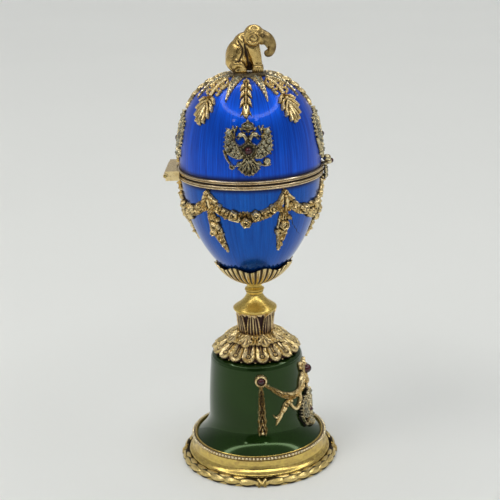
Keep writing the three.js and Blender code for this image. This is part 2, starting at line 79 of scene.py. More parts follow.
SEAM = (bottom_of("lid_rim") + top_of("bowl_rim")) / 2
RIM_OUTER = reach_of("lid_rim")
RIM_HEIGHT = top_of("lid_rim") - SEAM
LID = {"radius": reach_of("lid_shell"), "base": bottom_of("lid_shell"), "power": 2.5}
LID["height"] = top_of("lid_shell") - LID["base"]
BOWL = {"radius": reach_of("bowl_shell"), "base": top_of("bowl_shell"), "power": 1.77}
BOWL["height"] = BOWL["base"] - bottom_of("bowl_shell")
# Where the bows hang on the bowl; where the bell's front ornament is, how far round from it the
# rubies are, and how far below the shoulder's upper edge, along the surface, they sit.
BOW_TURNS = [29, 90, 150, 210, 270, 325]
BELL_FRONT = 74
BELL_SIDE = 68
RUBY_ARC = 7.2
# How steeply the edge of chased work rises: height per millimetre inwards.
STEEP = 4.0


def length_of(name):
    """A length of the egg_sizes group, in millimetres."""
    return round(getattr(bpy.context.scene.egg_sizes, name) / MM, 4)


def count_of(name):
    """A count of the egg_sizes group."""
    return getattr(bpy.context.scene.egg_sizes, name)


# ------------------------------------------------------------------ mesh building
def around(r, turn, z):
    """Points at radius r, turn in radians and height z."""
    r, turn, z = np.broadcast_arrays(np.asarray(r, float), turn, z)
    return np.stack([r * np.sin(turn), -r * np.cos(turn), z], -1)


def curve(points, per=5):
    """A smooth line through points, with per steps between neighbours."""
    p = np.asarray(points, float)
    if len(p) < 3:
        return p
    p = np.vstack([2 * p[0] - p[1], p, 2 * p[-1] - p[-2]])
    out = []
    for i in range(1, len(p) - 2):
        a, b, c, d = p[i - 1 : i + 3]
        for s in np.arange(per) / per:
            out.append(
                0.5 * (2 * b + (c - a) * s + (2 * a - 5 * b + 4 * c - d) * s**2
                       + (3 * b - a - 3 * c + d) * s**3)
            )
    out.append(p[-2])
    return np.array(out)


def filleted(points, radius=0.25, steps=4):
    """An outline whose corners are rounded by about radius."""
    p = np.asarray(points, float)
    out = [p[0]]
    for a, b, c in zip(p[:-2], p[1:-1], p[2:]):
        before, after = a - b, c - b
        la, lc = np.linalg.norm(before), np.linalg.norm(after)
        cut = min(radius, 0.45 * la, 0.45 * lc)
        start, end = b + before / la * cut, b + after / lc * cut
        for s in np.linspace(0, 1, steps):
            out.append((1 - s) ** 2 * start + 2 * s * (1 - s) * b + s**2 * end)
    out.append(p[-1])
    return np.array(out)


def evened(points, pitch):
    """The same outline with points no further apart than pitch."""
    p = np.asarray(points, float)
    out = [p[:1]]
    for a, b in zip(p[:-1], p[1:]):
        n = max(1, int(math.ceil(np.linalg.norm(b - a) / pitch)))
        out.append(a + (b - a) * (np.arange(1, n + 1) / n)[:, None])
    return np.vstack(out)


def blurred(field, sigma):
    """A field smoothed by a Gaussian of sigma cells."""
    pad = int(4 * sigma) + 2
    wide = np.pad(field, pad, mode="edge")
    ky = np.fft.fftfreq(wide.shape[0])[:, None]
    kx = np.fft.rfftfreq(wide.shape[1])[None, :]
    soft = np.fft.irfft2(
        np.fft.rfft2(wide) * np.exp(-2 * (math.pi * sigma) ** 2 * (ky**2 + kx**2)), wide.shape
    )
    return soft[pad:-pad, pad:-pad]


def step_up(x, low, high):
    """Smooth step from 0 at low to 1 at high."""
    t = np.clip((x - low) / (high - low), 0, 1)
    return t * t * (3 - 2 * t)


class Work:
    """Points, faces and finish of one piece, gathered before it becomes a mesh."""

    def __init__(self):
        self.points, self.faces, self.hollow, self.index = [], [], [], []
        self.count = 0

    def add(self, points, faces, hollow=0.0, index=0):
        """Adds one closed form, with its faces turned outwards."""
        points = np.asarray(points, float).reshape(-1, 3)
        hollow = np.asarray(hollow, float).ravel()
        self.points.append(points)
        self.hollow.append(np.broadcast_to(hollow, (len(points),)))
        groups = [np.asarray(g, int) for g in (faces if isinstance(faces, list) else [faces])]
        volume = 0.0
        for g in groups:
            for k in range(1, g.shape[1] - 1):
                a, b, c = points[g[:, 0]], points[g[:, k]], points[g[:, k + 1]]
                volume += float(np.einsum("ij,ij->i", a, np.cross(b, c)).sum())
        for g in groups:
            g = g if volume > 0 else g[:, ::-1]
            self.faces.append(g + self.count)
            self.index.append(np.full(len(g), index, int))
        self.count += len(points)

    def build(self, name, materials, body, nodes=(), sharp=38):
        points = np.vstack(self.points) * MM
        faces = [tuple(f) for group in self.faces for f in group.tolist()]
        mesh = bpy.data.meshes.new(name)
        mesh.from_pydata(points.tolist(), [], faces)
        # The point attribute made here holds how dark each point is painted, 0 to 1: painted shade in
        # recesses, grooves, under things and on shaded sides, and patina in the gilt's recesses.
        mesh.attributes.new("hollow", "FLOAT", "POINT").data.foreach_set(
            "value", np.concatenate(self.hollow).astype(np.float32)
        )
        for material in materials if isinstance(materials, (list, tuple)) else [materials]:
            mesh.materials.append(material)
        mesh.polygons.foreach_set("material_index", np.concatenate(self.index))
        mesh.polygons.foreach_set("use_smooth", np.ones(len(faces), bool))
        mesh.update()
        mesh.set_sharp_from_angle(angle=math.radians(sharp))
        piece = bpy.data.objects.new(name, mesh)
        bpy.context.scene.collection.objects.link(piece)
        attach(piece, body)
        if nodes:
            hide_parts(*nodes)
        return piece


def grid_faces(rows, columns, wrap=False):
    """Quads of a grid of rows by columns of points; wrap closes the columns."""
    last = columns if wrap else columns - 1
    i, j = np.meshgrid(np.arange(rows - 1), np.arange(last), indexing="ij")
    k = (j + 1) % columns
    a, b = i * columns + j, i * columns + k
    return np.stack([a, b, b + columns, a + columns], -1).reshape(-1, 4)


def turn_up(work, outline, sides=144, move=None, loop=False):
    """Turns an outline [r, z] about the axis. Ends at r = 0 close to a point, and loop joins
    the last row to the first. move(r, turn, z, row) gives new (r, z, painted shade and patina)."""
    outline = np.asarray(outline, float)
    first_pole, last_pole = outline[0, 0] < 1e-6, outline[-1, 0] < 1e-6
    body = outline[int(first_pole) : len(outline) - int(last_pole)]
    turn = np.arange(sides) * 2 * math.pi / sides
    r, turns = np.meshgrid(body[:, 0], turn, indexing="ij")
    z = np.repeat(body[:, 1][:, None], sides, 1)
    hollow = np.zeros_like(r)
    if move:
        row = np.repeat(np.arange(len(body))[:, None], sides, 1)
        r, z, hollow = move(r, turns, z, row)
        hollow = np.broadcast_to(hollow, r.shape)
    points = [around(r, turns, z).reshape(-1, 3)]
    shades = [hollow.ravel()]
    rows = len(body)
    faces = [grid_faces(rows, sides, wrap=True)]
    ring = np.arange(sides)
    after = (ring + 1) % sides
    if loop:
        top = (rows - 1) * sides
        faces.append(np.stack([top + ring, top + after, after, ring], -1))
    count = rows * sides
    if first_pole:
        points.append([[0, 0, outline[0, 1]]])
        shades.append([0])
        faces.append(np.stack([np.full(sides, count), after, ring], -1))
        count += 1
    if last_pole:
        points.append([[0, 0, outline[-1, 1]]])
        shades.append([0])
        base = (rows - 1) * sides
        faces.append(np.stack([base + ring, base + after, np.full(sides, count)], -1))
    work.add(np.vstack(points), faces, np.concatenate(shades))


def all_dark(r, turn, z, row):
    """A move for turn_up that keeps the shape and paints all of it dark, as shade behind other work."""
    return r, z, np.ones_like(r)


# ------------------------------------------------------------------ curved surfaces
def egg_outline(egg, sign, steps, inset=0.0):
    """Half-egg outline from pole to rim."""
    swing = np.linspace(0, math.pi / 2, steps + 1)
    radius, height, power = egg["radius"] - inset, egg["height"] - inset, egg["power"]
    rise = height * np.cos(swing) ** (2 / power)
    rise[-1] = 0
    r = radius * np.clip(1 - (rise / height) ** power, 0, 1) ** (1 / power)
    return np.stack([r, egg["base"] + sign * rise], -1)


def surface(outline):
    """on(turn, across, arc, proud): points laid on a turned surface, in millimetres."""
    dense = evened(outline, 0.25)
    step = np.linalg.norm(np.diff(dense, axis=0), axis=1)
    arcs = np.concatenate([[0], np.cumsum(step)])
    tangent = np.gradient(dense, arcs, axis=0)
    tangent = np.stack([blurred(tangent[:, k][None], 4)[0] for k in (0, 1)], -1)
    tangent /= np.linalg.norm(tangent, axis=1)[:, None]

    def on(turn, across, arc, proud):
        across, arc, proud = np.broadcast_arrays(*(np.asarray(x, float) for x in (across, arc, proud)))
        r = np.interp(arc, arcs, dense[:, 0])
        z = np.interp(arc, arcs, dense[:, 1])
        tr, tz = np.interp(arc, arcs, tangent[:, 0]), np.interp(arc, arcs, tangent[:, 1])
        angle = math.radians(turn) + across / np.maximum(r, 4)
        return around(r - tz * proud, angle, z + tr * proud)

    return on


def bell_side():
    """The bell's side from the shoulder down to the foot."""
    low, high = mm_box("nephrite_bell")
    t = np.linspace(0, 1, 13)[:, None]
    flare = np.hstack([22.7 + (high[0] - 22.7) * t**2.6, 24 + (low[2] - 24) * t])
    upper = [[19.2, high[2] - 0.2], [20.8, 50], [21.3, 46], [22.4, 32]]
    return np.vstack([upper, flare])


ON_LID = surface(egg_outline(LID, 1, 200))
ON_BOWL = surface(egg_outline(BOWL, -1, 200)[::-1])
ON_BELL = surface(bell_side())


# ------------------------------------------------------------------ relief work
def ROUND(q):
    return np.sqrt(1 - q * q)


def LEAF(q):
    return (1 - q**4) * (0.7 + 0.3 * np.sin(np.minimum(q * 1.7, 1) * math.pi / 2))


def RIBBON(q):
    return 0.72 + 0.28 * step_up(q, 0.55, 0.8)


def FLAT(q):
    return 1 - 0.12 * q**3


def CREST(q):
    return 1 - 0.85 * q


def CHANNEL(q):
    return 0.35 + 0.65 * step_up(q, 0.35, 0.7)


class Relief:
    """A height field over (across, down) in millimetres, to be laid on a curved surface."""

    def __init__(self, low, high, step=0.2):
        self.step = step
        self.low = np.asarray(low, float)
        us = np.arange(low[0], high[0] + step, step)
        vs = np.arange(low[1], high[1] + step, step)
        self.u, self.v = np.meshgrid(us, vs)
        self.height = np.full(self.u.shape, -1.0)
        # dark: painted shade marked on the relief, 0 to 1, in beds under leaves, crevices and grooves.
        self.dark = np.zeros(self.u.shape)

    def window(self, low, high):
        a = np.floor((np.asarray(low) - self.low) / self.step).astype(int)
        b = np.ceil((np.asarray(high) - self.low) / self.step).astype(int) + 1
        rows, columns = self.u.shape
        return (slice(max(0, a[1]), min(rows, max(0, b[1]))),
                slice(max(0, a[0]), min(columns, max(0, b[0]))))

    def put(self, where, field, dark=0.0, over=False):
        old = self.height[where]
        wins = (field > -0.02) if over else (field > old)
        self.height[where] = np.where(wins, field, np.maximum(old, field))
        self.dark[where] = np.where(wins, dark, self.dark[where])

    def stroke(self, path, width, height, profile=ROUND, over=False, per=5, dark=0.0):
        """A raised line of given half widths and heights along a path."""
        path = curve(path, per)
        t = np.linspace(0, 1, len(path))
        width = np.interp(t, np.linspace(0, 1, np.size(width)), np.ravel(width))
        height = np.interp(t, np.linspace(0, 1, np.size(height)), np.ravel(height))
        reach = width.max() + 0.4
        where = self.window(path.min(0) - reach, path.max(0) + reach)
        u, v = self.u[where], self.v[where]
        if not u.size:
            return
        made = np.full(u.shape, -1.0)
        for i in range(len(path) - 1):
            a, d = path[i], path[i + 1] - path[i]
            s = np.clip(((u - a[0]) * d[0] + (v - a[1]) * d[1]) / max(d @ d, 1e-9), 0, 1)
            far = np.hypot(u - a[0] - s * d[0], v - a[1] - s * d[1])
            w = width[i] + s * (width[i + 1] - width[i])
            h = height[i] + s * (height[i + 1] - height[i])
            q = np.minimum(far / np.maximum(w, 0.02), 1)
            made = np.maximum(made, np.minimum(h * profile(q), STEEP * (w - far)))
        self.put(where, made, dark, over)

    def mirrored(self, path, *rest, **more):
        """The same stroke on both sides of the middle line."""
        path = np.asarray(path, float)
        self.stroke(path, *rest, **more)
        self.stroke(path * [-1, 1], *rest, **more)

    def disc(self, u0, v0, radius, height, profile=ROUND, over=False, dark=0.0):
        where = self.window((u0 - radius - 0.4, v0 - radius - 0.4), (u0 + radius + 0.4, v0 + radius + 0.4))
        far = np.hypot(self.u[where] - u0, self.v[where] - v0)
        field = height * profile(np.minimum(far / radius, 1))
        self.put(where, np.minimum(field, STEEP * (radius - far)), dark, over)

    def polar(self, u0, v0, radius, shape, over=True):
        """shape(rho 0..1, angle) gives the height, or height and darkness, of a round element."""
        where = self.window((u0 - radius - 0.5, v0 - radius - 0.5), (u0 + radius + 0.5, v0 + radius + 0.5))
        du, dv = self.u[where] - u0, self.v[where] - v0
        rho, angle = np.hypot(du, dv) / radius, np.arctan2(du, -dv)
        made = shape(rho, angle)
        self.put(where, *(made if isinstance(made, tuple) else (made,)), over=over)

    def lay(self, work, on, turn, sink=0.5, shade=0.22):
        """Adds the relief to a piece as a closed shell on a surface."""
        # Painted shade and patina: cells lower than their neighbours go dark, with the marked dark added;
        # the side walls and underside are painted fully dark, the shadow round the chased work.
        ground = np.maximum(self.height, 0)
        hollow = np.clip((blurred(ground, 0.5 / self.step) - ground) / shade + blurred(self.dark, 0.8), 0,
                         1)
        top = np.maximum(self.height, -0.3)
        raised = top > -0.05
        keep = raised[:-1, :-1] | raised[1:, :-1] | raised[:-1, 1:] | raised[1:, 1:]
        for _ in range(3):
            a, b, c, d = keep[:-1, :-1], keep[:-1, 1:], keep[1:, :-1], keep[1:, 1:]
            pinch = (a & d & ~b & ~c) | (b & c & ~a & ~d)
            for part in (a, b, c, d):
                part |= pinch
        rows, columns = self.u.shape
        ids = np.arange(rows * columns).reshape(rows, columns)
        i, j = np.nonzero(keep)
        quads = np.stack([ids[i, j], ids[i + 1, j], ids[i + 1, j + 1], ids[i, j + 1]], -1)
        shell = np.pad(keep, 1)
        sides = []
        for di, dj, a, b in ((-1, 0, (0, 0), (0, 1)), (1, 0, (1, 1), (1, 0)),
                             (0, -1, (1, 0), (0, 0)), (0, 1, (0, 1), (1, 1))):
            edge = ~shell[i + 1 + di, j + 1 + dj]
            p = ids[i[edge] + a[0], j[edge] + a[1]]
            q = ids[i[edge] + b[0], j[edge] + b[1]]
            sides.append(np.stack([p, q, q + rows * columns, p + rows * columns], -1))
        quads_all = np.vstack([quads, quads[:, ::-1] + rows * columns, *sides])
        used, faces = np.unique(quads_all, return_inverse=True)
        faces = faces.reshape(quads_all.shape)
        u = np.concatenate([self.u.ravel()] * 2)[used]
        v = np.concatenate([self.v.ravel()] * 2)[used]
        lift = np.concatenate([top.ravel(), np.full(top.size, -sink)])[used]
        shades = np.concatenate([hollow.ravel(), np.ones(top.size)])[used]
        work.add(on(turn, u, v, lift), faces, shades)


def dome(work, on, turn, u, v, radius, low, high, sides=10, rings=3, flat=0.0):
    """A rounded stone or bead standing on a surface, from low to high above it."""
    angle = np.arange(sides) * 2 * math.pi / sides
    swing = np.linspace(0, math.pi / 2 * (1 - flat * 0.4), rings + 1)
    rho = np.concatenate([[0.9], np.cos(swing[:-1] if flat == 0 else swing)]) * radius
    lift = np.concatenate([[low], low + (high - low) * np.sin(swing[:-1] if flat == 0 else swing)])
    uu = u + rho[:, None] * np.sin(angle)
    vv = v + rho[:, None] * np.cos(angle)
    ll = np.repeat(lift[:, None], sides, 1)
    points = np.vstack([on(turn, uu, vv, ll).reshape(-1, 3), on(turn, u, v, high).reshape(1, 3),
                        on(turn, u, v, low).reshape(1, 3)])
    rows = len(rho)
    ring, after = np.arange(sides), (np.arange(sides) + 1) % sides
    base = (rows - 1) * sides
    faces = [grid_faces(rows, sides, wrap=True),
             np.stack([base + ring, base + after, np.full(sides, rows * sides)], -1),
             np.stack([after, ring, np.full(sides, rows * sides + 1)], -1)]
    work.add(points, faces)


# ------------------------------------------------------------------ finishes
def feed(tree, node, inputs):
    """Links sockets to the inputs of a node, or sets values on them."""
    for key, value in inputs.items():
        if isinstance(value, bpy.types.NodeSocket):
            tree.links.new(value, node.inputs[key])
        else:
            node.inputs[key].default_value = value


def put_node(tree, kind, inputs=None, **settings):
    """A shader node with its settings, and values or links for its inputs."""
    made = tree.nodes.new("ShaderNode" + kind)
    for key, value in settings.items():
        setattr(made, key, value)
    feed(tree, made, inputs or {})
    return made


def put_ramp(tree, fac, stops):
    made = put_node(tree, "ValToRGB", {"Fac": fac})
    while len(made.color_ramp.elements) < len(stops):
        made.color_ramp.elements.new(0.5)
    for element, (place, color) in zip(made.color_ramp.elements, stops):
        element.position = place
        element.color = rgba(color)
    return made.outputs["Color"]


def rgba(color):
    """A colour with its alpha, from three values or one grey."""
    return (*color, 1) if hasattr(color, "__len__") else (color, color, color, 1)


def put_math(tree, operation, a, b=0.0, clamp=False):
    return put_node(tree, "Math", {0: a, 1: b}, operation=operation, use_clamp=clamp).outputs[0]


def put_mix(tree, fac, a, b):
    return put_node(tree, "Mix", {0: fac, 6: a, 7: b}, data_type="RGBA").outputs[2]


def put_noise(tree, place, scale, **more):
    return put_node(tree, "TexNoise", {"Vector": place, "Scale": scale, **more}).outputs["Fac"]


def put_range(tree, value, low, high, **settings):
    """How far a value has gone from low to high, 0 to 1."""
    return put_node(tree, "MapRange", {"Value": value, "From Min": low, "From Max": high},
                    **settings).outputs["Result"]


def put_vector(tree, operation, *inputs, output=0):
    return put_node(tree, "VectorMath", dict(enumerate(inputs)), operation=operation).outputs[output]


def put_bump(tree, strength, depth, height):
    """A bump that is depth millimetres deep."""
    return put_node(tree, "Bump", {"Strength": strength, "Distance": depth * MM,
                                   "Height": height}).outputs[0]


def object_place(tree):
    return put_node(tree, "TexCoord").outputs["Object"]


def new_group(name, inputs, outputs):
    """A shader node group. A default that is a tuple makes a colour input, a number a value
    input, and the output Color is a colour."""
    group = bpy.data.node_groups.new(name, "ShaderNodeTree")
    for label, default in inputs.items():
        kind = "NodeSocketColor" if isinstance(default, tuple) else "NodeSocketFloat"
        group.interface.new_socket(label, in_out="INPUT", socket_type=kind).default_value = default
    for label in outputs:
        kind = "NodeSocketColor" if label == "Color" else "NodeSocketFloat"
        group.interface.new_socket(label, in_out="OUTPUT", socket_type=kind)
    return group, group.nodes.new("NodeGroupInput").outputs, group.nodes.new("NodeGroupOutput")


def made_once(make):
    """make(name, ...), called only if no material or node group has that name yet."""
    def found_or_made(name, *rest):
        return bpy.data.materials.get(name) or bpy.data.node_groups.get(name) or make(name, *rest)

    return found_or_made


@made_once
def patina_and_shade_group(name):
    """Gilding that turns towards its dark colour, with less shine, where the point attribute rises: patina
    and painted shade in its recesses, and painted shade in grooves and on shaded sides; where it stands
    proud it stays bright.
    """
    group, given, out = new_group(
        name,
        {"Metal": (0.8, 0.6, 0.3, 1), "Patina And Shade": (0.05, 0.03, 0.02, 1), "Second Tone": (0.7, 0.5, 0.3, 1),
         "Depth": 1.0, "Smooth": 0.25, "Rough": 0.6},
        ("Color", "Roughness", "Height", "Metallic"))
    place = object_place(group)
    # The point attribute read here is painted shade and patina.
    shade_and_patina_level = put_node(group, "Attribute", attribute_name="hollow").outputs["Fac"]
    cloud = put_noise(group, place, 420.0, Detail=4.0, Roughness=0.6)
    fine = put_noise(group, place, 2600.0, Detail=3.0)
    uneven = put_math(group, "SUBTRACT", cloud, 0.5)
    shifted = put_math(group, "ADD", shade_and_patina_level, put_math(group, "MULTIPLY", uneven, 0.55))
    dark = put_range(group, shifted, 0.25, 0.9, interpolation_type="SMOOTHSTEP")
    dark = put_math(group, "MULTIPLY", dark, given["Depth"], clamp=True)
    warm = put_mix(group, put_range(group, cloud, 0.42, 0.68), given["Metal"], given["Second Tone"])
    color = put_mix(group, dark, warm, given["Patina And Shade"])
    grain = put_math(group, "MULTIPLY", put_math(group, "SUBTRACT", fine, 0.5), 0.25)
    base = put_math(group, "ADD", given["Smooth"], grain)
    rough = put_node(group, "Mix", {0: dark, 2: base, 3: given["Rough"]}, data_type="FLOAT").outputs[0]
    height = put_math(group, "ADD", put_math(group, "MULTIPLY", fine, 0.5), cloud)
    shine = put_math(group, "SUBTRACT", 1.0, put_math(group, "MULTIPLY", dark, 0.55))
    feed(group, out, {"Color": color, "Roughness": rough, "Height": height, "Metallic": shine})
    return group


def new_material(name):
    material = bpy.data.materials.new(name)
    material.use_nodes = True
    tree = material.node_tree
    tree.nodes.clear()
    shader = put_node(tree, "BsdfPrincipled")
    put_node(tree, "OutputMaterial", {0: shader.outputs[0]})
    return material, tree, shader


# Each metal: its colour or the property that holds it, second tone, the dark colour of its patina
# and painted shade, how much of that dark shows, roughness where bright and where dark, and bump in
# millimetres.
METALS = {
    "chased_gilt": ("gilt", (0.74, 0.54, 0.23), (0.03, 0.018, 0.006), 1.0, 0.27, 0.62, 0.02),
    "soft_gilt": ("gilt", (0.7, 0.5, 0.22), (0.05, 0.03, 0.012), 1.0, 0.3, 0.6, 0.015),
    "polished_gilt": ("polished_gilt", (0.64, 0.43, 0.1), (0.1, 0.06, 0.02), 0.8, 0.3, 0.4, 0.004),
    "satin_gilt": ("polished_gilt", (0.6, 0.42, 0.18), (0.12, 0.075, 0.03), 0.8, 0.3, 0.5, 0.02),
    "chased_silver_gilt": ((0.74, 0.64, 0.4), (0.42, 0.35, 0.2), (0.014, 0.011, 0.007), 1.0, 0.26, 0.6,
                           0.02),
    "rose_patina": ((0.78, 0.6, 0.3), (0.66, 0.46, 0.27), (0.035, 0.012, 0.01), 1.0, 0.27, 0.6, 0.02),
    "rim_gilt": ((0.72, 0.6, 0.4), (0.58, 0.42, 0.22), (0.035, 0.015, 0.007), 1.0, 0.17, 0.5, 0.008),
    "foot_gilt": ("polished_gilt", (0.56, 0.38, 0.13), (0.08, 0.045, 0.014), 1.0, 0.24, 0.5, 0.02),
    "bead_gilt": ((0.95, 0.84, 0.58), (0.85, 0.68, 0.38), (0.12, 0.075, 0.03), 0.8, 0.2, 0.5, 0.004),
    "wreath_gilt": ((0.82, 0.63, 0.26), (0.66, 0.49, 0.15), (0.03, 0.018, 0.006), 1.0, 0.29, 0.6, 0.02),
    "calyx_gilt": ("gilt", (0.72, 0.54, 0.2), (0.06, 0.034, 0.01), 1.0, 0.24, 0.5, 0.012),
    "collar_gilt": ("gilt", (0.7, 0.53, 0.2), (0.04, 0.014, 0.008), 1.0, 0.3, 0.6, 0.01),
    "crown_gilt": ((0.74, 0.62, 0.38), (0.6, 0.47, 0.26), (0.03, 0.022, 0.012), 1.0, 0.26, 0.6, 0.02),
    "elephant_gilt": ((0.74, 0.53, 0.2), (0.58, 0.39, 0.13), (0.03, 0.013, 0.004), 1.0, 0.25, 0.42, 0.012),
}


@made_once
def metal(name):
    """A gilt or silver-gilt finish."""
    color, second, patina_and_shade_color, depth, smooth, rough, bump = METALS[name]
    if isinstance(color, str):
        color = getattr(bpy.context.scene.egg_finish, color)
    material, tree, shader = new_material(name)
    values = {"Metal": rgba(color), "Second Tone": rgba(second), "Patina And Shade": rgba(patina_and_shade_color), "Depth": depth,
              "Smooth": smooth, "Rough": rough}
    patina = put_node(tree, "Group", values, node_tree=patina_and_shade_group("gilt_patina")).outputs
    feed(tree, shader, {"Base Color": patina["Color"], "Roughness": patina["Roughness"],
                        "Metallic": patina["Metallic"],
                        "Normal": put_bump(tree, 0.5, bump, patina["Height"])})
    return material


@made_once
def enamel_group(name):
    """Translucent enamel over engine-turned metal: fine rays that run down from the pole."""
    group, given, out = new_group(
        name, {"Light": (0.1, 0.3, 0.9, 1), "Deep": (0.01, 0.03, 0.4, 1), "Rays": 60.0, "Contrast": 1.0},
        ("Color", "Height"))
    part = put_node(group, "SeparateXYZ", {0: object_place(group)}).outputs
    flat = put_node(group, "CombineXYZ", {0: part[0], 1: part[1]}).outputs[0]
    ray = put_vector(group, "NORMALIZE", flat)
    spread = put_node(group, "VectorMath", {0: ray, "Scale": given["Rays"]}, operation="SCALE").outputs[0]
    drop = put_node(group, "CombineXYZ", {2: put_math(group, "MULTIPLY", part[2], 55.0)}).outputs[0]
    where = put_vector(group, "ADD", spread, drop)
    fine = put_noise(group, where, 1.0, Detail=5.0, Roughness=0.7)
    broad = put_noise(group, where, 0.22, Detail=2.0)
    mixed = put_math(group, "ADD", put_math(group, "MULTIPLY", fine, 0.75),
                     put_math(group, "MULTIPLY", broad, 0.25))
    share = put_math(group, "MULTIPLY", put_range(group, mixed, 0.36, 0.66), given["Contrast"], clamp=True)
    feed(group, out, {"Color": put_mix(group, share, given["Deep"], given["Light"]), "Height": fine})
    return group


@made_once
def enamel(name, rays, sheen, rough):
    """The enamel of the lid or the bowl; it is painted towards deep navy, as shade near the rim, where the
    shell's point attribute rises.
    """
    look = bpy.context.scene.egg_finish
    material, tree, shader = new_material(name + "_enamel")
    values = {"Light": rgba(getattr(look, name + "_light")), "Deep": rgba(getattr(look, name + "_deep")),
              "Rays": rays, "Contrast": 1.0}
    turned = put_node(tree, "Group", values, node_tree=enamel_group("engine_turning")).outputs
    shade = put_node(tree, "Attribute", attribute_name="hollow").outputs["Fac"]
    # Painted shade: the enamel turns deep navy where the point attribute rises.
    feed(tree, shader, {"Base Color": put_mix(tree, shade, turned["Color"], (0.002, 0.008, 0.07, 1)),
                        "Normal": put_bump(tree, 0.35, 0.03, turned["Height"]), "Metallic": sheen,
                        "Roughness": rough, "Coat Weight": 0.4, "Coat Roughness": 0.035, "Coat IOR": 1.45,
                        "Specular IOR Level": 0.1})
    return material


def clouded(name, scale, stops, detail, **values):
    """A material whose colour follows a cloud from the first stop to the second."""
    material, tree, shader = new_material(name)
    cloud = put_noise(tree, object_place(tree), scale, Detail=detail)
    feed(tree, shader, {"Base Color": put_ramp(tree, cloud, stops)})
    for label, value in values.items():
        shader.inputs[label.replace("_", " ")].default_value = value
    return material


def crack_line():
    stops = [(0.35, (0.003, 0.006, 0.03)), (0.7, (0.015, 0.03, 0.1))]
    return clouded("enamel_crack", 1800.0, stops, 2.0, Roughness=0.5)


@made_once
def nephrite(name):
    """Dark green stone, cloudy and lightly flecked."""
    material, tree, shader = new_material(name)
    place = object_place(tree)
    cloud = put_noise(tree, place, 45.0, Detail=5.0, Distortion=0.6)
    fleck = put_noise(tree, place, 700.0, Detail=3.0)
    stone = tuple(bpy.context.scene.egg_finish.stone)
    body = put_ramp(tree, cloud, [(0.3, tuple(c * 0.45 for c in stone)), (0.7, stone)])
    mask = put_range(tree, fleck, 0.6, 0.72)
    color = put_mix(tree, put_math(tree, "MULTIPLY", mask, 0.35), body, (0.004, 0.012, 0.006, 1))
    rough = put_node(tree, "MapRange", {"Value": cloud, "To Min": 0.08, "To Max": 0.14}).outputs["Result"]
    feed(tree, shader, {"Base Color": color, "Roughness": rough, "Coat Weight": 0.2, "Coat Roughness": 0.02,
                        "Coat IOR": 1.5, "Specular IOR Level": 0.45, "Specular Tint": (0.58, 1.0, 0.36, 1)})
    return material


@made_once
def gem(name, color, second, rough):
    """A polished stone with a little cloud inside."""
    return clouded(name, 600.0, [(0.35, color), (0.68, second)], 2.0, Roughness=rough, Coat_Weight=0.3,
                   Coat_Roughness=0.02, IOR=1.5)


def ruby():
    return gem("dark_ruby", (0.02, 0.001, 0.004), (0.08, 0.003, 0.01), 0.06)


def pale_stone():
    return gem("greyed_stone", (0.075, 0.07, 0.04), (0.42, 0.41, 0.29), 0.1)


# ------------------------------------------------------------------ stage
def floor_material():
    tone = tuple(bpy.context.scene.egg_stage.floor_tone)
    stops = [(0.3, tuple(c * 0.985 for c in tone)), (0.7, tone)]
    return clouded("pale_sweep", 3.0, stops, 2.0, Roughness=0.55, Specular_IOR_Level=0.25)


def towards(turn, lift):
    """Unit direction, turn degrees from -Y towards +X and lift degrees up."""
    a, e = math.radians(turn), math.radians(lift)
    return math.sin(a) * math.cos(e), -math.cos(a) * math.cos(e), math.sin(e)


def studio_world():
    """A pale booth: a bright ring of lamps high up all round, darker walls and a dark front."""
    world = bpy.data.worlds.new("studio")
    bpy.context.scene.world = world
    world.use_nodes = True
    tree = world.node_tree
    tree.nodes.clear()
    look = bpy.context.scene.egg_stage
    way = put_node(tree, "TexCoord").outputs["Generated"]
    up = put_node(tree, "SeparateXYZ", {0: way}).outputs[2]
    ring_axis, front_axis = (0.052, -0.145, 0.988), (0.0, -0.914, 0.406)
    near_top = put_vector(tree, "DOT_PRODUCT", way, ring_axis, output="Value")
    walls = put_ramp(tree, near_top, [(0.0, 0.55), (0.1, 0.5), (0.3, 0.36), (0.7, 0.32), (0.755, 0.45),
                                      (0.765, 6.2),
                                      (0.8, 6.2), (0.83, 0.6), (0.9, 0.45), (1.0, 0.42)])
    front = put_vector(tree, "DOT_PRODUCT", way, front_axis, output="Value")
    patch = put_range(tree, front, 0.87, 0.93, interpolation_type="SMOOTHSTEP")
    low = put_range(tree, up, 0.68, 0.64)
    dark = put_math(tree, "MULTIPLY", put_math(tree, "MULTIPLY", patch, low), 0.85)
    lit = put_mix(tree, dark, walls, rgba(0.03))
    for turn, lift in ((-29.0, 37.0), (17.0, 39.0)):
        lamp = put_vector(tree, "DOT_PRODUCT", way, towards(turn, lift), output="Value")
        lit = put_mix(tree, put_range(tree, lamp, 0.9988, 0.9993), lit, rgba(8.0))
    seen = put_node(tree, "LightPath").outputs["Is Camera Ray"]
    color = put_mix(tree, seen, lit, rgba(look.backdrop_tone))
    ground = put_node(tree, "Background", {"Color": color, "Strength": look.world_strength})
    put_node(tree, "OutputWorld", {0: ground.outputs[0]})


def soft_light(name, turn, elevation, distance, size, power, color):
    """A square soft box that looks at the middle of the egg and its stand."""
    data = bpy.data.lights.new(name, "AREA")
    data.energy, data.size, data.color = power, size, color
    lamp = bpy.data.objects.new(name, data)
    bpy.context.scene.collection.objects.link(lamp)
    back = Vector(towards(turn, elevation))
    lamp.location = Vector((0, 0, 0.1)) + back * distance
    lamp.rotation_mode = "QUATERNION"
    lamp.rotation_quaternion = (-back).to_track_quat("-Z", "Y")
    lamp.visible_glossy = False


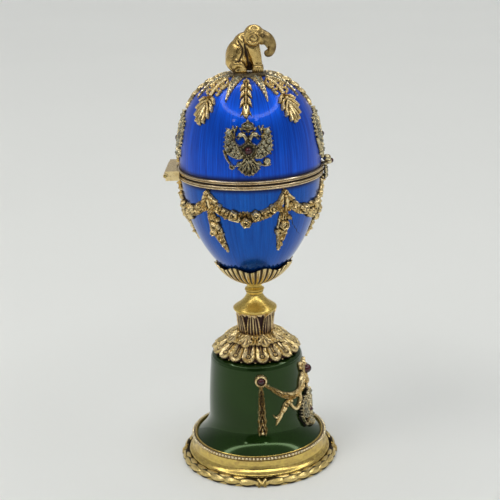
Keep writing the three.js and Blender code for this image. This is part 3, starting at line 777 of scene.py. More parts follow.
def set_camera():
    """The camera stands 2 degrees round from -Y, half a metre off, and looks down on the egg."""
    data = bpy.data.cameras.new("camera")
    data.sensor_width, data.lens = 36.0, 86.4
    data.clip_start, data.clip_end = 0.05, 20.0
    camera = bpy.data.objects.new("camera", data)
    bpy.context.scene.collection.objects.link(camera)
    stand, height = 0.51585, 0.2576
    turn, pitch, yaw, roll = math.radians(2.0), 0.297235, -0.00280905, -0.0329209
    heading = Matrix.Rotation(turn, 3, "Z") @ Matrix.Rotation(-yaw, 3, "Z")
    right = heading @ Vector((1, 0, 0))
    ahead = heading @ Vector((0, math.cos(pitch), -math.sin(pitch)))
    above = right.cross(ahead)
    cr, sr = math.cos(roll), math.sin(roll)
    side, lift = cr * right + sr * above, cr * above - sr * right
    place = Matrix.Translation((stand * math.sin(turn), -stand * math.cos(turn), height))
    camera.matrix_world = place @ Matrix((side, lift, -ahead)).transposed().to_4x4()
    bpy.context.scene.camera = camera


def make_stage():
    """The camera, the floor, the studio and two soft boxes."""
    look = bpy.context.scene.egg_stage
    set_camera()
    sides = 96
    angle = np.arange(sides) * 2 * math.pi / sides
    rings = (0.15, 0.5, 1.5, 6.0)
    mesh = bpy.data.meshes.new("floor")
    points = [(0, 0, 0)] + [(r * math.sin(a), -r * math.cos(a), 0) for r in rings for a in angle]
    faces = [(0, 1 + k, 1 + (k + 1) % sides) for k in range(sides)]
    for low in range(1, 1 + (len(rings) - 1) * sides, sides):
        high = low + sides
        faces += [(low + k, high + k, high + (k + 1) % sides, low + (k + 1) % sides) for k in range(sides)]
    mesh.from_pydata(points, [], faces)
    mesh.materials.append(floor_material())
    floor = bpy.data.objects.new("floor", mesh)
    bpy.context.scene.collection.objects.link(floor)
    floor.location.z = -0.0001
    studio_world()
    soft_light("key_light", -55, 50, 1.6, 0.7, look.key_power, (1.0, 0.98, 0.95))
    soft_light("fill_light", 70, 40, 1.8, 0.9, look.key_power * 0.3, (0.96, 0.98, 1.0))
    view = bpy.context.scene.view_settings
    view.view_transform = "Standard"
    view.exposure = 0.0


# ------------------------------------------------------------------ enamelled shells and rims
def make_shell(name, egg, sign, body, skin):
    """An enamelled half-egg shell with a gilt inside; its enamel is painted darker near the rim, as shade.
    """
    outer = evened(egg_outline(egg, sign, 80), 1.25)
    inner = evened(egg_outline(egg, sign, 30, length_of("wall")), 2.4)[::-1]
    work = Work()
    base = egg["base"]

    # Painted shade on the enamel, darkest at the rim and gone about 2 mm above it, where the rim casts its
    # shadow.
    def shade(r, turn, z, row):
        near = step_up(np.abs(z - base), 2.2, 0.2)
        return r, z, near * (row < len(outer))

    sides = 144
    turn_up(work, np.vstack([outer, inner]), sides, shade)
    rows = np.arange(len(work.index[0])) // sides
    work.index[0][rows >= len(outer) - 2] = 1
    work.index[-1][:] = 1
    work.build(name, [skin, metal("satin_gilt")], body, [name])


def make_rim(name, sign, body):
    """A rim of two rounded ridges with a deep groove between them and by the seam; the grooves are painted
    dark as shade.
    """
    t = np.linspace(0, 1, 45)
    seam, split = (0.17, 0.52) if sign > 0 else (0.06, 0.5)
    inner_ridge = np.sqrt(np.clip(1 - ((t - (seam + split) / 2) / (split - seam) * 2) ** 2, 0, 1))
    outer_ridge = np.sqrt(np.clip(1 - ((t - (split + 1) / 2) / (1 - split) * 2) ** 2, 0, 1))
    low_step, high_step = (0.3, 0.0) if sign > 0 else (0.05, 0.3)
    proud = RIM_OUTER - 1.0 + inner_ridge * (1.0 - low_step) + outer_ridge * (1.0 - high_step)
    level = SEAM + sign * (0.05 + t * (RIM_HEIGHT - 0.05))
    inner = LID["radius"] - length_of("wall") - 0.3
    outline = np.vstack([[[inner, level[0]]], np.stack([proud, level], -1), [[inner, level[-1]]]])
    work = Work()

    # Painted shade in the grooves, darker the deeper the groove.
    def shade(r, turn, z, row):
        groove = step_up(r, RIM_OUTER - 0.45, RIM_OUTER - 0.8)
        return r, z, np.where(r > inner + 0.5, groove, 0.0)

    turn_up(work, outline, 160, shade, loop=True)
    work.build(name, metal("rim_gilt"), body, [name])


def dress_cad(node, material, bevel=0.12):
    """Keeps a CAD solid, with softened edges and its own finish."""
    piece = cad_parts[node]
    piece.data.materials.clear()
    piece.data.materials.append(material)
    soften = piece.modifiers.new("soft_edges", "BEVEL")
    soften.width, soften.segments, soften.limit_method = bevel * MM, 3, "ANGLE"
    soften.angle_limit = math.radians(32)


def make_crack():
    """The hairline crack that runs down and round the lower enamel."""
    marks = [(34.6, 11.6), (36.2, 13.2), (37.0, 13.4), (38.6, 15.6), (40.8, 18.4), (42.6, 18.9),
             (44.4, 20.6),
             (46.5, 21.0), (48.6, 22.8), (51.2, 23.4), (54.3, 24.8)]
    line = curve(marks, 3)
    rough = np.sin(np.arange(len(line)) * 2.3) * 0.25
    width = 0.42 * np.sin(np.linspace(0.15, math.pi - 0.1, len(line))) + 0.05
    rows = []
    for (turn, arc), w, j in zip(line, width, rough):
        ring = [ON_BOWL(turn, dx * w, arc + j * 0.3 + dy * w, lift)
                for dx, dy, lift in ((-1, -0.6, -0.05), (0, 0, 0.09), (1, 0.6, -0.05), (0, 0, -0.12))]
        rows.append(ring)
    points = np.array(rows).reshape(-1, 3)
    n = len(rows)
    work = Work()
    ends = [np.array([[0, 1, 2, 3]]), np.array([[(n - 1) * 4 + 3, (n - 1) * 4 + 2, (n - 1) * 4 + 1,
                                                 (n - 1) * 4]])]
    work.add(points, [grid_faces(n, 4, wrap=True), *ends])
    work.build("enamel_crack", crack_line(), "stand", ())


# ------------------------------------------------------------------ foot, bell and stem
def make_foot():
    """The stepped foot with its cove and the rim that holds the bell."""
    high = mm_box("foot")[1]
    radius, lip = high[0], reach_of("nephrite_bell")
    outline = filleted(
        [[0, 0], [radius - 0.5, 0], [radius - 0.5, 2.55], [radius, 2.9], [radius, 3.5],
         [radius - 0.35, 4.2],
         [radius - 1.5, 4.9], [radius - 2.3, 6.0], [radius - 2.7, 7.6], [radius - 2.9, 9.2],
         [lip + 1.15, 9.7],
         [lip + 1.15, 10.2], [lip + 1.55, 10.3], [lip + 1.55, 10.75], [lip + 1.0, 11.3], [lip + 1.0, 11.9],
         [lip + 0.75, high[2]], [lip + 0.4, high[2]], [lip + 0.3, 11.7], [lip + 0.3, 11.25], [0, 11.25]],
        0.3, 5)
    work = Work()

    def shade(r, turn, z, row):
        # Painted shade in the groove near the top and under the lower rounded edge.
        groove = np.exp(-(((z - 9.9) / 0.35) ** 2)) * (r > lip) * 0.9
        low_edge = np.exp(-(((z - 2.6) / 0.5) ** 2)) * 0.8
        return r, z, groove + low_edge * (z < 3.2)

    turn_up(work, evened(outline, 1.8), 144, shade)
    work.build("foot_cove", metal("foot_gilt"), "stand", ["foot"])


def ball_points(sides=8, rings=6):
    """Unit ball: points and faces."""
    swings = [math.pi * k / rings for k in range(1, rings)]
    one = Work()
    turn_up(one, [(0, 1), *((math.sin(a), math.cos(a)) for a in swings), (0, -1)], sides)
    return one.points[0], one.faces


def make_beads():
    """The ring of beads round the foot, on a band painted dark as the shade behind them."""
    low, high = mm_box("bead_border")
    radius, count = high[0] - 0.6, count_of("beads")
    level = (low[2] + high[2]) / 2 + 0.4
    ball = ball_points(8, 6)
    work = Work()
    for k in range(count):
        turn = 2 * math.pi * k / count
        work.add(ball[0] * length_of("bead_radius") + around(radius + 0.15, turn, level), ball[1], 0.0)
    # The band behind the beads, painted dark as shade.
    turn_up(work, [[radius - 0.6, level - 0.55], [radius - 0.05, level - 0.55],
                   [radius - 0.05, level + 0.45],
                   [radius - 0.6, level + 0.45]], 192, all_dark, loop=True)
    work.build("bead_ring", metal("bead_gilt"), "stand", ["bead_border"])


def lens_leaf(length, width, thick, bend=0.0, steps=12, across=8):
    """A pointed leaf along +X on the XY plane, with a midrib; points and faces of a closed form."""
    t = np.linspace(0, 1, steps + 1)
    half = width * np.sin(math.pi * t**0.85) ** 0.8 + 0.03
    q = np.linspace(-1, 1, across + 1)
    rib = np.exp(-((q / 0.16) ** 2)) * 0.08
    swell = (1 - q**2) ** 0.6 * 0.85 + rib
    groove = np.exp(-(((np.abs(q) - 0.24) / 0.12) ** 2)) * 0.05
    x = np.repeat((t * length)[:, None], across + 1, 1)
    y = half[:, None] * q[None] + bend * (t * (1 - t))[:, None]
    tall = thick * np.sin(math.pi * np.clip(t, 0.03, 0.97)) ** 0.45
    z = tall[:, None] * (swell - groove)[None]
    top = np.stack([x, y, z], -1).reshape(-1, 3)
    bottom = np.stack([x, y, np.full_like(z, -0.3)], -1).reshape(-1, 3)
    n = (steps + 1) * (across + 1)
    upper = grid_faces(steps + 1, across + 1)
    ids = np.arange(n).reshape(steps + 1, across + 1)
    loop = np.concatenate([ids[0, :-1], ids[:-1, -1], ids[-1, :0:-1], ids[:0:-1, 0]])
    after = np.roll(loop, -1)
    faces = [upper, upper[:, ::-1] + n, np.stack([after, loop, loop + n, after + n], -1)]
    # Painted shade along the leaf's edges and grooves; the underside is fully dark.
    hollow = np.concatenate([np.repeat(((np.abs(q) > 0.7) + groove * 8)[None], steps + 1, 0).ravel(),
                             np.ones(n)])
    return np.vstack([top, bottom]), faces, hollow


def leaf_frame(radius, turn, level, direction, tilt, twist=0.0):
    """Place for a leaf that runs round the foot: +X along the turn, +Z leaning outwards."""
    out = np.array([math.sin(turn), -math.cos(turn), 0.0])
    along = np.array([math.cos(turn), math.sin(turn), 0.0]) * direction
    up = np.array([0, 0, 1.0])
    normal = out * math.cos(tilt) + up * math.sin(tilt)
    side = np.cross(normal, along)
    along = along * math.cos(twist) + side * math.sin(twist)
    side = np.cross(normal, along)
    return around(radius, turn, level), np.stack([along, side, normal], 1)


def make_wreath():
    """The laurel wreath: leaves that run from the side ties to the front and back ties."""
    low, high = mm_box("laurel_border")
    outer = high[0]
    work = Work()
    floor = low[2]
    # The band under the leaves, painted dark as the shade between them.
    turn_up(work, filleted([[33.05, floor + 0.05], [outer - 1.6, floor + 0.05], [outer - 1.4, floor + 0.9],
                            [outer - 2.0, floor + 1.7], [33.05, floor + 1.9]], 0.2), 144,
            all_dark, loop=True)
    broad = lens_leaf(length_of("broad_leaf"), 1.95, 1.15)
    narrow = lens_leaf(length_of("narrow_leaf"), 1.1, 0.8, steps=9, across=6)
    rows = ((narrow, outer - 1.75, floor + 0.95, 0.1, -0.1, 0.5),
            (narrow, outer - 2.4, floor + 2.75, 1.0, 0.1, 0.5),
            (broad, outer - 1.85, floor + 1.75, 0.5, 0.0, 0.0))
    ties = [math.radians(a) for a in (3, 90, 180, 270)]
    for quarter, (tie, other) in enumerate(zip(ties, [math.radians(a) for a in (90, 180, 270, 363)])):
        direction = -1 if quarter in (0, 2) else 1
        start, end = (other, tie) if direction < 0 else (tie, other)
        span = end - start
        count = count_of("wreath_leaves")
        pitch = (abs(span) - 0.37) / (count - 1)
        for k in range(count):
            turn = start + math.copysign(0.05 + pitch * k, span)
            for leaf_shape, radius, level, tilt, splay, shift in rows:
                spot = turn + math.copysign(pitch * shift, span)
                if shift and k == count - 1:
                    continue
                origin, basis = leaf_frame(radius, spot, level, direction, tilt, twist=splay * direction)
                points = leaf_shape[0].copy()
                points[:, 2] += 0.04 * points[:, 0]
                bow = points[:, 0] ** 2 / (2 * (outer - 1.5))
                points = points @ basis.T + origin
                inwards = -np.stack([np.full(len(bow), math.sin(spot)), np.full(len(bow), -math.cos(spot)),
                                     np.zeros(len(bow))], -1)
                points = points + inwards * bow[:, None]
                points[:, 2] = np.maximum(points[:, 2], floor + 0.03)
                work.add(points, leaf_shape[1], leaf_shape[2])
    ball = ball_points(10, 8)
    for tie in ties:
        for lean in (-1, 1):
            path = []
            for s in np.linspace(-1, 1, 9):
                swing = s * lean
                path.append(around(outer - 0.75 - max(0, s) * 1.9, tie + swing * 0.052,
                                   floor + 0.45 + (s + 1) * 1.25))
            ribbon(work, np.array(path), 0.62, 0.4,
                   lambda p: np.array([p[0], p[1], 0.6 * np.hypot(p[0], p[1])]))
        for side in (-1, 1):
            work.add(ball[0] * [0.95, 0.95, 0.8] + around(outer - 1.5, tie + side * 0.062, floor + 1.35),
                     ball[1], 0.1)
        work.add(ball[0] * [0.9, 0.9, 0.6] + around(outer - 1.05, tie, floor + 1.7), ball[1], 0.0)
    work.build("laurel_wreath", metal("wreath_gilt"), "stand", ["laurel_border"])


def ribbon(work, path, half, thick, facing):
    """A flat band with a raised hem along each edge, following a path; facing(point) gives
    the way its front looks."""
    path = np.asarray(path, float)
    along = np.gradient(path, axis=0)
    along /= np.linalg.norm(along, axis=1)[:, None]
    n = len(path)
    widths = np.interp(np.linspace(0, 1, n), np.linspace(0, 1, np.size(half)), np.ravel(half))
    section = [(-1, 0), (-0.98, 0.85), (-0.8, 1), (-0.62, 0.6), (0, 0.7), (0.62, 0.6), (0.8, 1),
               (0.98, 0.85),
               (1, 0), (0.6, -0.25), (-0.6, -0.25)]
    # Painted shade on the inner steps of the hems and fully on the underside.
    shades = [0.3, 0, 0, 0.8, 0.1, 0.8, 0, 0, 0.3, 1, 1]
    points = []
    for p, a, w in zip(path, along, widths):
        front = np.asarray(facing(p), float)
        front = front - a * (front @ a)
        front /= np.linalg.norm(front)
        side = np.cross(a, front)
        points += [p + side * w * s + front * thick * h for s, h in section]
    m = len(section)
    first, last = np.arange(m)[None, ::-1], np.arange(m)[None] + (n - 1) * m
    work.add(points, [grid_faces(n, m, wrap=True), first, last], np.tile(shades, n))


def make_bell():
    """The bell of green stone."""
    low, high = mm_box("nephrite_bell")
    side = curve(bell_side(), 6)
    side = side[side[:, 1] < 50.2]
    shoulder = filleted([[0, high[2]], [17, high[2]], [19.4, high[2] - 0.15], [20.55, high[2] - 0.85],
                         [20.85, 49.6]], 0.7, 6)
    outline = np.vstack([shoulder, side, [[side[-1, 0] - 0.4, low[2]]], [[0, low[2]]]])
    outline[:, 0] = np.minimum(outline[:, 0], high[0])
    outline[:, 1] = np.maximum(outline[:, 1], low[2])
    work = Work()
    turn_up(work, evened(outline, 2.2), 144)
    work.build("stone_bell", nephrite("green_nephrite"), "stand", ["nephrite_bell"])


def make_stem():
    """The turned stem with its dome below and its knop."""
    low, high = mm_box("stem")
    knop = high[2] - 3.6
    outline = filleted(
        [[0, low[2] + 1.7], [8.9, low[2] + 1.7], [9.3, low[2] + 1.85], [9.75, low[2] + 2.1],
         [10.0, low[2] + 2.6],
         [9.9, low[2] + 3.1], [9.3, low[2] + 3.6], [8.3, low[2] + 4.3], [6.9, low[2] + 5.3],
         [5.6, low[2] + 6.4],
         [4.6, low[2] + 7.6], [3.9, low[2] + 8.8], [3.6, low[2] + 9.4], [4.05, knop - 0.75],
         [4.1, knop - 0.45],
         [3.85, knop - 0.3], [4.35, knop + 0.05], [4.5, knop + 0.45], [4.3, knop + 0.85], [3.8, knop + 1.2],
         [3.3, knop + 1.9], [3.25, knop + 2.5], [3.5, knop + 2.8], [4.0, knop + 2.95], [4.3, high[2] - 0.3],
         [4.3, high[2]], [0, high[2]]], 0.35, 4)
    work = Work()

    def shade(r, turn, z, row):
        # Painted shade in the creases below the knop, under the top and above the dome.
        creases = (np.exp(-(((z - knop + 0.35) / 0.18) ** 2)) + np.exp(-(((z - high[2] + 0.75) / 0.2) ** 2))
                   + np.exp(-(((z - low[2] - 9.4) / 0.25) ** 2)))
        return r, z, np.clip(creases, 0, 1) * 0.85 * (r > 2)

    turn_up(work, evened(outline, 0.7), 112, shade)
    work.build("turned_stem", metal("polished_gilt"), "stand", ["stem"])


def make_drum():
    """The drum wrapped in palm leaves."""
    low, high = mm_box("palm_drum")
    bottom, top, leaves, first = 8.0, 8.9, count_of("palm_leaves"), math.radians(-5)
    ceiling = high[2] + 2.0
    rows, sides = 60, 280
    t = np.linspace(0, 1, rows)
    skin = np.stack([bottom + (top - bottom) * t, low[2] + (ceiling - low[2]) * t], -1)
    outline = np.vstack([[[0, low[2]]], skin, [[0, ceiling]]])
    work = Work()

    def chase(r, turn, z, row):
        share = (z - low[2]) / (ceiling - low[2])
        pitch = 2 * math.pi / leaves
        off = (turn - first + pitch / 2) % pitch - pitch / 2
        u = off * 8.3
        front = 3.62 - 1.35 * share**1.2 - 1.5 * share**7
        edge = front - np.abs(u)
        border = np.exp(-(((edge - 0.26) / 0.19) ** 2))
        fan = u / np.maximum(front, 0.4)
        veins = 0.5 + 0.5 * np.cos(fan * 15 + share * 1.5)
        within = step_up(edge, -0.12, 0.12)
        midrib = np.exp(-((u / 0.22) ** 2)) * within
        fringe = step_up(share + 0.035 * np.cos(turn * 21) + 0.02 * np.cos(turn * 35), 0.86, 0.9)
        height = within * (-0.35 + 0.22 * veins + 0.2 * midrib) + border * 0.42 * step_up(edge, -0.25, 0.0)
        height += (1 - within) * -1.0 + fringe * (0.75 - height)
        # Painted shade and patina: dark between the veins and between the leaves, light along the borders,
        # and dark between the teeth of the fringe.
        hollow = np.clip(within * (0.45 + 0.75 * (1 - veins)) * (1 - midrib * 0.5) + (1 - within)
                         - border * 1.1, 0, 1)
        hollow = hollow * (1 - fringe) + fringe * 0.2 * (1 + np.cos(turn * 21))
        return r + height - 0.06, z, hollow

    turn_up(work, outline, sides, chase)
    work.build("palm_leaf_drum", metal("rose_patina"), "stand", ["palm_drum"])


def make_calyx():
    """The fluted calyx with its scalloped edge."""
    rise = np.array([[4.5, 84.75], [6.2, 85.2], [8.2, 86.1], [10.3, 87.3], [12.4, 88.8], [14.3, 90.6],
                     [15.9, 92.6],
                     [16.9, 94.2]])
    outer = curve(rise, 5)
    rows = len(outer)
    lip = [[17.25, 94.8], [17.05, 95.0], [16.75, 94.85], [16.4, 94.2]]
    inner = curve([[15.2, 92.7], [13.4, 90.9], [11.4, 89.3], [9.2, 87.8], [6.4, 86.2], [3.4, 85.5],
                   [1.0, 85.35]], 3)
    outline = np.vstack([[[0, 84.75]], outer, lip, inner, [[0, inner[-1, 1]]]])
    flutes, scallops, offset = count_of("flutes"), count_of("scallops"), math.radians(18)
    work = Work()

    def chase(r, turn, z, row):
        share = np.clip(row / (rows - 1), 0, 1)
        on_outside = row < rows + 2
        wave = np.abs(np.cos((turn - offset) * flutes / 2))
        gadroon = (wave**1.3 - 0.5) * (0.22 + 0.75 * share) * step_up(share, 0.0, 0.12)
        scallop = np.cos((turn - offset) * scallops) * 0.95 + (wave**0.8 - 0.6) * 0.5
        edge = np.clip((row - rows * 0.45) / (rows * 0.55), 0, 1) ** 1.5 * (row < rows + 4)
        front = np.exp(-(((turn - math.radians(8)) / 0.13) ** 2))
        # Painted shade between the flutes, with the inside of the calyx painted fully dark as the shadow in
        # it; a little darker round the front.
        hollow = np.clip((0.86 - wave) / 0.42, 0, 1) * on_outside * step_up(share, 0.02, 0.25)
        grow = np.where(on_outside, gadroon, gadroon * 0.3 * (row < rows + 4))
        r2 = r + grow + edge * scallop * 0.42
        z2 = z + edge * scallop
        keep = row >= rows + 4
        return np.where(keep, r, r2), np.where(keep, z, z2), np.where(keep, 1.0, hollow) + front * 0.15

    turn_up(work, outline, 320, chase)
    work.build("fluted_calyx", metal("calyx_gilt"), "stand", ["calyx"])


ON_LOW_COLLAR = surface([[11.5, 58.3], [13.4, 57.2], [16.5, 55.4], [19.0, 53.6], [20.2, 52.4],
                         [21.0, 51.2]])
ON_HIGH_COLLAR = surface([[8.2, 61.3], [9.4, 60.9], [11.2, 60.0], [13.2, 58.9], [15.2, 57.5], [16.4, 56.4]])


def low_petal():
    """One rounded petal with a raised hem, a stem and a bored boss."""
    piece = Relief((-3.9, 0.4), (3.9, 11.2), 0.265)
    u, v = piece.u, piece.v
    r = np.interp(v, [0, 2.2, 5.8, 8.9, 10.6, 12], [11.5, 13.4, 16.5, 19.0, 20.2, 21])
    half = math.pi * r / count_of("lower_petals") * 0.985
    centre, end = 6.6, 3.22
    edge = np.where(v < centre, half - np.abs(u), end - np.hypot(u, (v - centre) * 0.93))
    edge = np.minimum(edge, half - np.abs(u))
    hem = np.exp(-(((edge - 0.3) / 0.22) ** 2))
    dish = 0.95 - 0.55 * step_up(edge, 0.4, 2.6)
    piece.height = np.minimum(dish + 0.34 * hem, STEEP * edge)
    # Painted shade in the petal's dish and on its upper end, under the upper tier; the boss below gets
    # painted shade round it.
    piece.dark = 0.36 * step_up(edge, 0.5, 0.85) + 0.6 * step_up(v, 3.8, 1.8)
    piece.mirrored([(0.9, 4.0), (1.75, 5.0), (2.0, 6.4), (1.7, 7.6)], [0.3, 0.42, 0.4, 0.24],
                   [0.85, 1.0, 1.0, 0.8])
    piece.stroke([(0, 0.4), (0, 3.0), (0, 6.2)], [0.44, 0.36, 0.27], [1.25, 1.15, 1.1])
    piece.disc(0, 7.1, 1.2, 0.55, FLAT, over=True, dark=0.7)
    piece.disc(0, 7.1, 0.85, 1.1, CHANNEL, over=True)
    return piece


def high_petal():
    """One broad scalloped petal with a volute at each side."""
    piece = Relief((-5.4, 0.2), (5.4, 8.6), 0.265)
    u, v = piece.u, piece.v
    lobe = np.maximum(2.1 - np.hypot(u * 0.95, v - 5.2), 1.35 - np.hypot(np.abs(u) - 2.15, v - 4.7))
    fan = np.minimum(0.9 + 0.42 * v - np.abs(u), 5.2 - v)
    edge = np.maximum(lobe, fan)
    hem = np.exp(-(((edge - 0.32) / 0.22) ** 2))
    rays = np.cos(np.arctan2(u, v + 1.5) * 22)
    piece.height = np.minimum(0.7 + 0.45 * hem + 0.05 * rays * step_up(edge, 0.4, 0.9), STEEP * edge)
    # Painted shade inside the petal's hem.
    piece.dark = 0.5 * step_up(edge, 0.5, 0.8)
    piece.mirrored([(0.1, 1.0), (0.75, 3.0), (1.5, 5.0)], [0.26, 0.34, 0.2], [1.05, 1.1, 0.9])
    piece.stroke([(0, 0.8), (0, 5.2)], [0.3, 0.4, 0.3], [1.1, 1.25, 1.1])
    piece.mirrored([(2.2, 0.5), (3.2, 2.4), (4.3, 4.0), (4.35, 5.2), (3.6, 5.7), (3.2, 5.1), (3.6, 4.5)],
                   [0.36, 0.36, 0.4, 0.4, 0.36, 0.3, 0.26], [1.15, 1.1, 1.15, 1.15, 1.1, 1.05, 1.0])
    piece.mirrored([(1.6, 0.4), (2.5, 2.2), (3.3, 3.9)], [0.22, 0.26, 0.2], [1.0, 1.0, 0.8])
    return piece


def make_collar():
    """The collar of petals in two tiers."""
    low, high = mm_box("petal_collar")
    work = Work()
    core = filleted([[0, high[2]], [8.3, high[2]], [8.6, high[2] - 0.45], [9.2, high[2] - 0.9],
                     [12.6, 58.7],
                     [13.2, 57.4], [18.3, 53.9], [18.2, low[2] + 0.5], [17.6, low[2]], [0, low[2]]], 0.25,
                    4)
    # The core behind the petals is painted dark, as the shade between them.
    turn_up(work, evened(core, 1.2), 144, lambda r, t, z, row: (r, z, np.where(r > 9.4, 1.0, 0.2)))
    lower, upper, petals = low_petal(), high_petal(), count_of("lower_petals")
    for petal, count, on in ((lower, petals, ON_LOW_COLLAR),
                             (upper, count_of("upper_petals"), ON_HIGH_COLLAR)):
        for k in range(count):
            petal.lay(work, on, 180 / count + 360 / count * k, sink=0.35)
    turn_up(work, filleted([[8.0, high[2] - 0.1], [8.9, high[2] - 0.05], [9.5, high[2] - 0.55],
                            [9.1, high[2] - 0.95],
                            [8.0, high[2] - 0.8]], 0.2), 128, loop=True)
    ball = ball_points(8, 6)
    for k in range(petals):
        work.add(ball[0] * 0.36 + around(18.7, math.radians(360 / petals * k), low[2] + 0.45), ball[1], 0.0)
    work.build("two_tier_collar", metal("collar_gilt"), "stand", ["petal_collar"])


# ------------------------------------------------------------------ mounts of the lid
def ray_relief():
    """One narrow ray of the crown star."""
    piece = Relief((-3.4, 6.8), (3.4, 26.4), 0.29)
    piece.stroke([(0, 7), (0, 24.6)], [2.5, 0.25], [0.55, 0.5], FLAT)
    piece.mirrored([(2.45, 7.6), (1.2, 16.8), (0.0, 25.4)], [0.34, 0.3, 0.26], [1.05, 1.0, 0.8])
    return piece


def make_crown():
    """The plate under the elephant with its rays, and their stones."""
    work = Work()
    radius, top = length_of("crown_radius"), top_of("crown_star")
    rays = count_of("crown_rays")
    turns = [180 / rays + 360 / rays * k for k in range(rays)]
    edge = ON_LID(0, 0, radius, 0.1).ravel()[2]
    rim_z = edge + 0.75
    # The plate between the rays is painted dark, as shade.
    turn_up(work, filleted([[0, LID["base"] + LID["height"] + 0.05], [4, LID["base"] + LID["height"]],
                            [radius - 0.3, edge - 0.3], [radius, edge], [radius, rim_z],
                            [radius - 0.7, rim_z + 0.15],
                            [7.6, top - 0.25], [7.3, top], [0, top]], 0.2), 128,
            lambda r, t, z, row: (r, z, np.where(r > 7.2, 0.75, 0.2)))
    ray = ray_relief()
    for turn in turns:
        ray.lay(work, ON_LID, turn)
    work.build("crown_rays", metal("crown_gilt"), "lid", ["crown_star"])
    stones = Work()
    for turn in turns:
        for v in np.linspace(9.6, 21.4, 8):
            half = 2.45 * (25.4 - v) / 17.8 - 0.42
            stone = min(0.72, half)
            dome(stones, ON_LID, turn, 0, v, stone, 0.4, 0.62 + stone * 0.75, sides=8, rings=2, flat=0.5)
            if half > 1.15:
                for side in (-1, 1):
                    dome(stones, ON_LID, turn, side * 1.2, v + 0.8, 0.45, 0.4, 0.85, sides=7, rings=2,
                         flat=0.5)
    stones.build("crown_stones", pale_stone(), "lid", ())


def husk_relief():
    """One chain of husks with a bud at its end."""
    piece = Relief((-3.1, 11.0), (3.1, 33.4), 0.2)
    piece.disc(0, 32.0, 0.75, 1.3)
    piece.mirrored([(0.7, 28.4), (1.35, 30.0), (2.4, 31.6)], [0.55, 0.6, 0.2], [1.1, 1.3, 1.2])
    piece.stroke([(0, 26.4), (0, 28.6), (0, 31.0)], [1.25, 1.6, 1.2], [1.1, 1.35, 1.3], over=True)
    piece.stroke([(0, 27.2), (0, 28.4)], [0.14, 0.2], [0.25, 0.25], FLAT)
    slit = (np.abs(piece.u) < 0.2 + 0.1 * np.sin((piece.v - 27) * 2)) & (piece.v > 27.1) & (piece.v < 28.9)
    piece.height[slit] = 0.35
    for start in (23.4, 19.3, 15.2):
        # The bed under each husk gets some painted shade.
        piece.stroke([(0, start - 0.2), (0, start + 3.6)], [1.15, 0.5], [0.8, 0.9], FLAT, over=True,
                     dark=0.3)
        piece.mirrored([(0.55, start), (1.35, start + 2.0), (2.45, start + 4.4)], [0.8, 1.02, 0.2],
                       [1.0, 1.5, 1.45], over=True)
        piece.stroke([(0, start), (0, start + 1.8), (0, start + 3.2)], [0.75, 0.7, 0.2], [1.3, 1.75, 1.6],
                     CREST,
                     over=True)
    piece.mirrored([(0.2, 12.7), (0.85, 13.7), (0.75, 15.0)], [0.45, 0.7, 0.35], [1.0, 1.35, 1.1],
                   over=True)
    piece.disc(0, 12.0, 0.55, 1.3)
    return piece


def acanthus_relief():
    """One acanthus spray with scrolls and a leaf."""
    piece = Relief((-5.9, 11.6), (5.9, 37.4), 0.23)
    piece.stroke([(0, 12), (0, 18), (0, 24)], [0.9, 0.7, 0.9], [1.2, 1.4, 1.4])
    piece.mirrored([(0.3, 12.2), (1.9, 13.4), (3.4, 15.2), (4.0, 17.4), (3.3, 19.0), (2.2, 18.7),
                    (2.1, 17.6)],
                   [0.5, 0.6, 0.62, 0.6, 0.5, 0.42, 0.4], [1.3, 1.4, 1.5, 1.5, 1.4, 1.3, 1.2])
    piece.mirrored([(0.6, 15.6), (1.5, 15.4), (2.2, 16.2)], [0.4, 0.5, 0.3], [1.1, 1.3, 1.1])
    for side in (-1, 1):
        piece.disc(side * 2.75, 17.6, 0.75, 1.8)
        piece.disc(side * 3.5, 20.3, 0.62, 1.5)
    piece.mirrored([(0.3, 19.0), (1.5, 20.2), (2.8, 20.3), (3.6, 21.4), (2.9, 22.6), (2.1, 22.0)],
                   [0.5, 0.55, 0.5, 0.45, 0.4, 0.3], [1.2, 1.3, 1.3, 1.3, 1.2, 1.1])
    lobes = [((0.4, 28.6), (1.45, 32.0), (1.95, 35.0)), ((0.5, 27.0), (2.4, 29.6), (3.55, 32.8)),
             ((0.5, 25.6), (2.8, 27.0), (4.3, 29.9)), ((0.4, 24.6), (2.4, 24.6), (4.0, 26.6))]
    for k, lobe in enumerate(lobes):
        piece.mirrored(lobe, [0.55, 0.92 - 0.06 * k, 0.78 - 0.05 * k], [1.0, 1.45, 1.9], ROUND)
        (ua, va), (ub, vb) = lobe[:2]
        # Dark grooves between the lobes, painted shade.
        piece.mirrored([(ua + 0.1, va - 0.75), (ub + 0.15, vb - 0.95)], [0.16, 0.1], [0.7, 0.9], FLAT,
                       over=True,
                       dark=0.9)
    piece.stroke([(0, 28.5), (0, 32.8), (0, 35.9)], [0.8, 1.1, 0.85], [1.2, 1.8, 2.0], ROUND)
    piece.stroke([(0, 24.6), (0, 31.5)], [0.5, 0.22], [1.75, 1.5], CREST)
    for shift in (-0.48, 0.0, 0.48):
        piece.stroke([(-1.75, 24.1 + shift), (0, 24.3 + shift), (1.75, 24.1 + shift)], [0.3, 0.33, 0.3],
                     [1.5, 1.75, 1.5], over=True)
    return piece


def z_to_arc(z):
    """Distance along the lid from its pole at height z, near the eagles."""
    return 33.8 + (164.4 - z) * 1.01


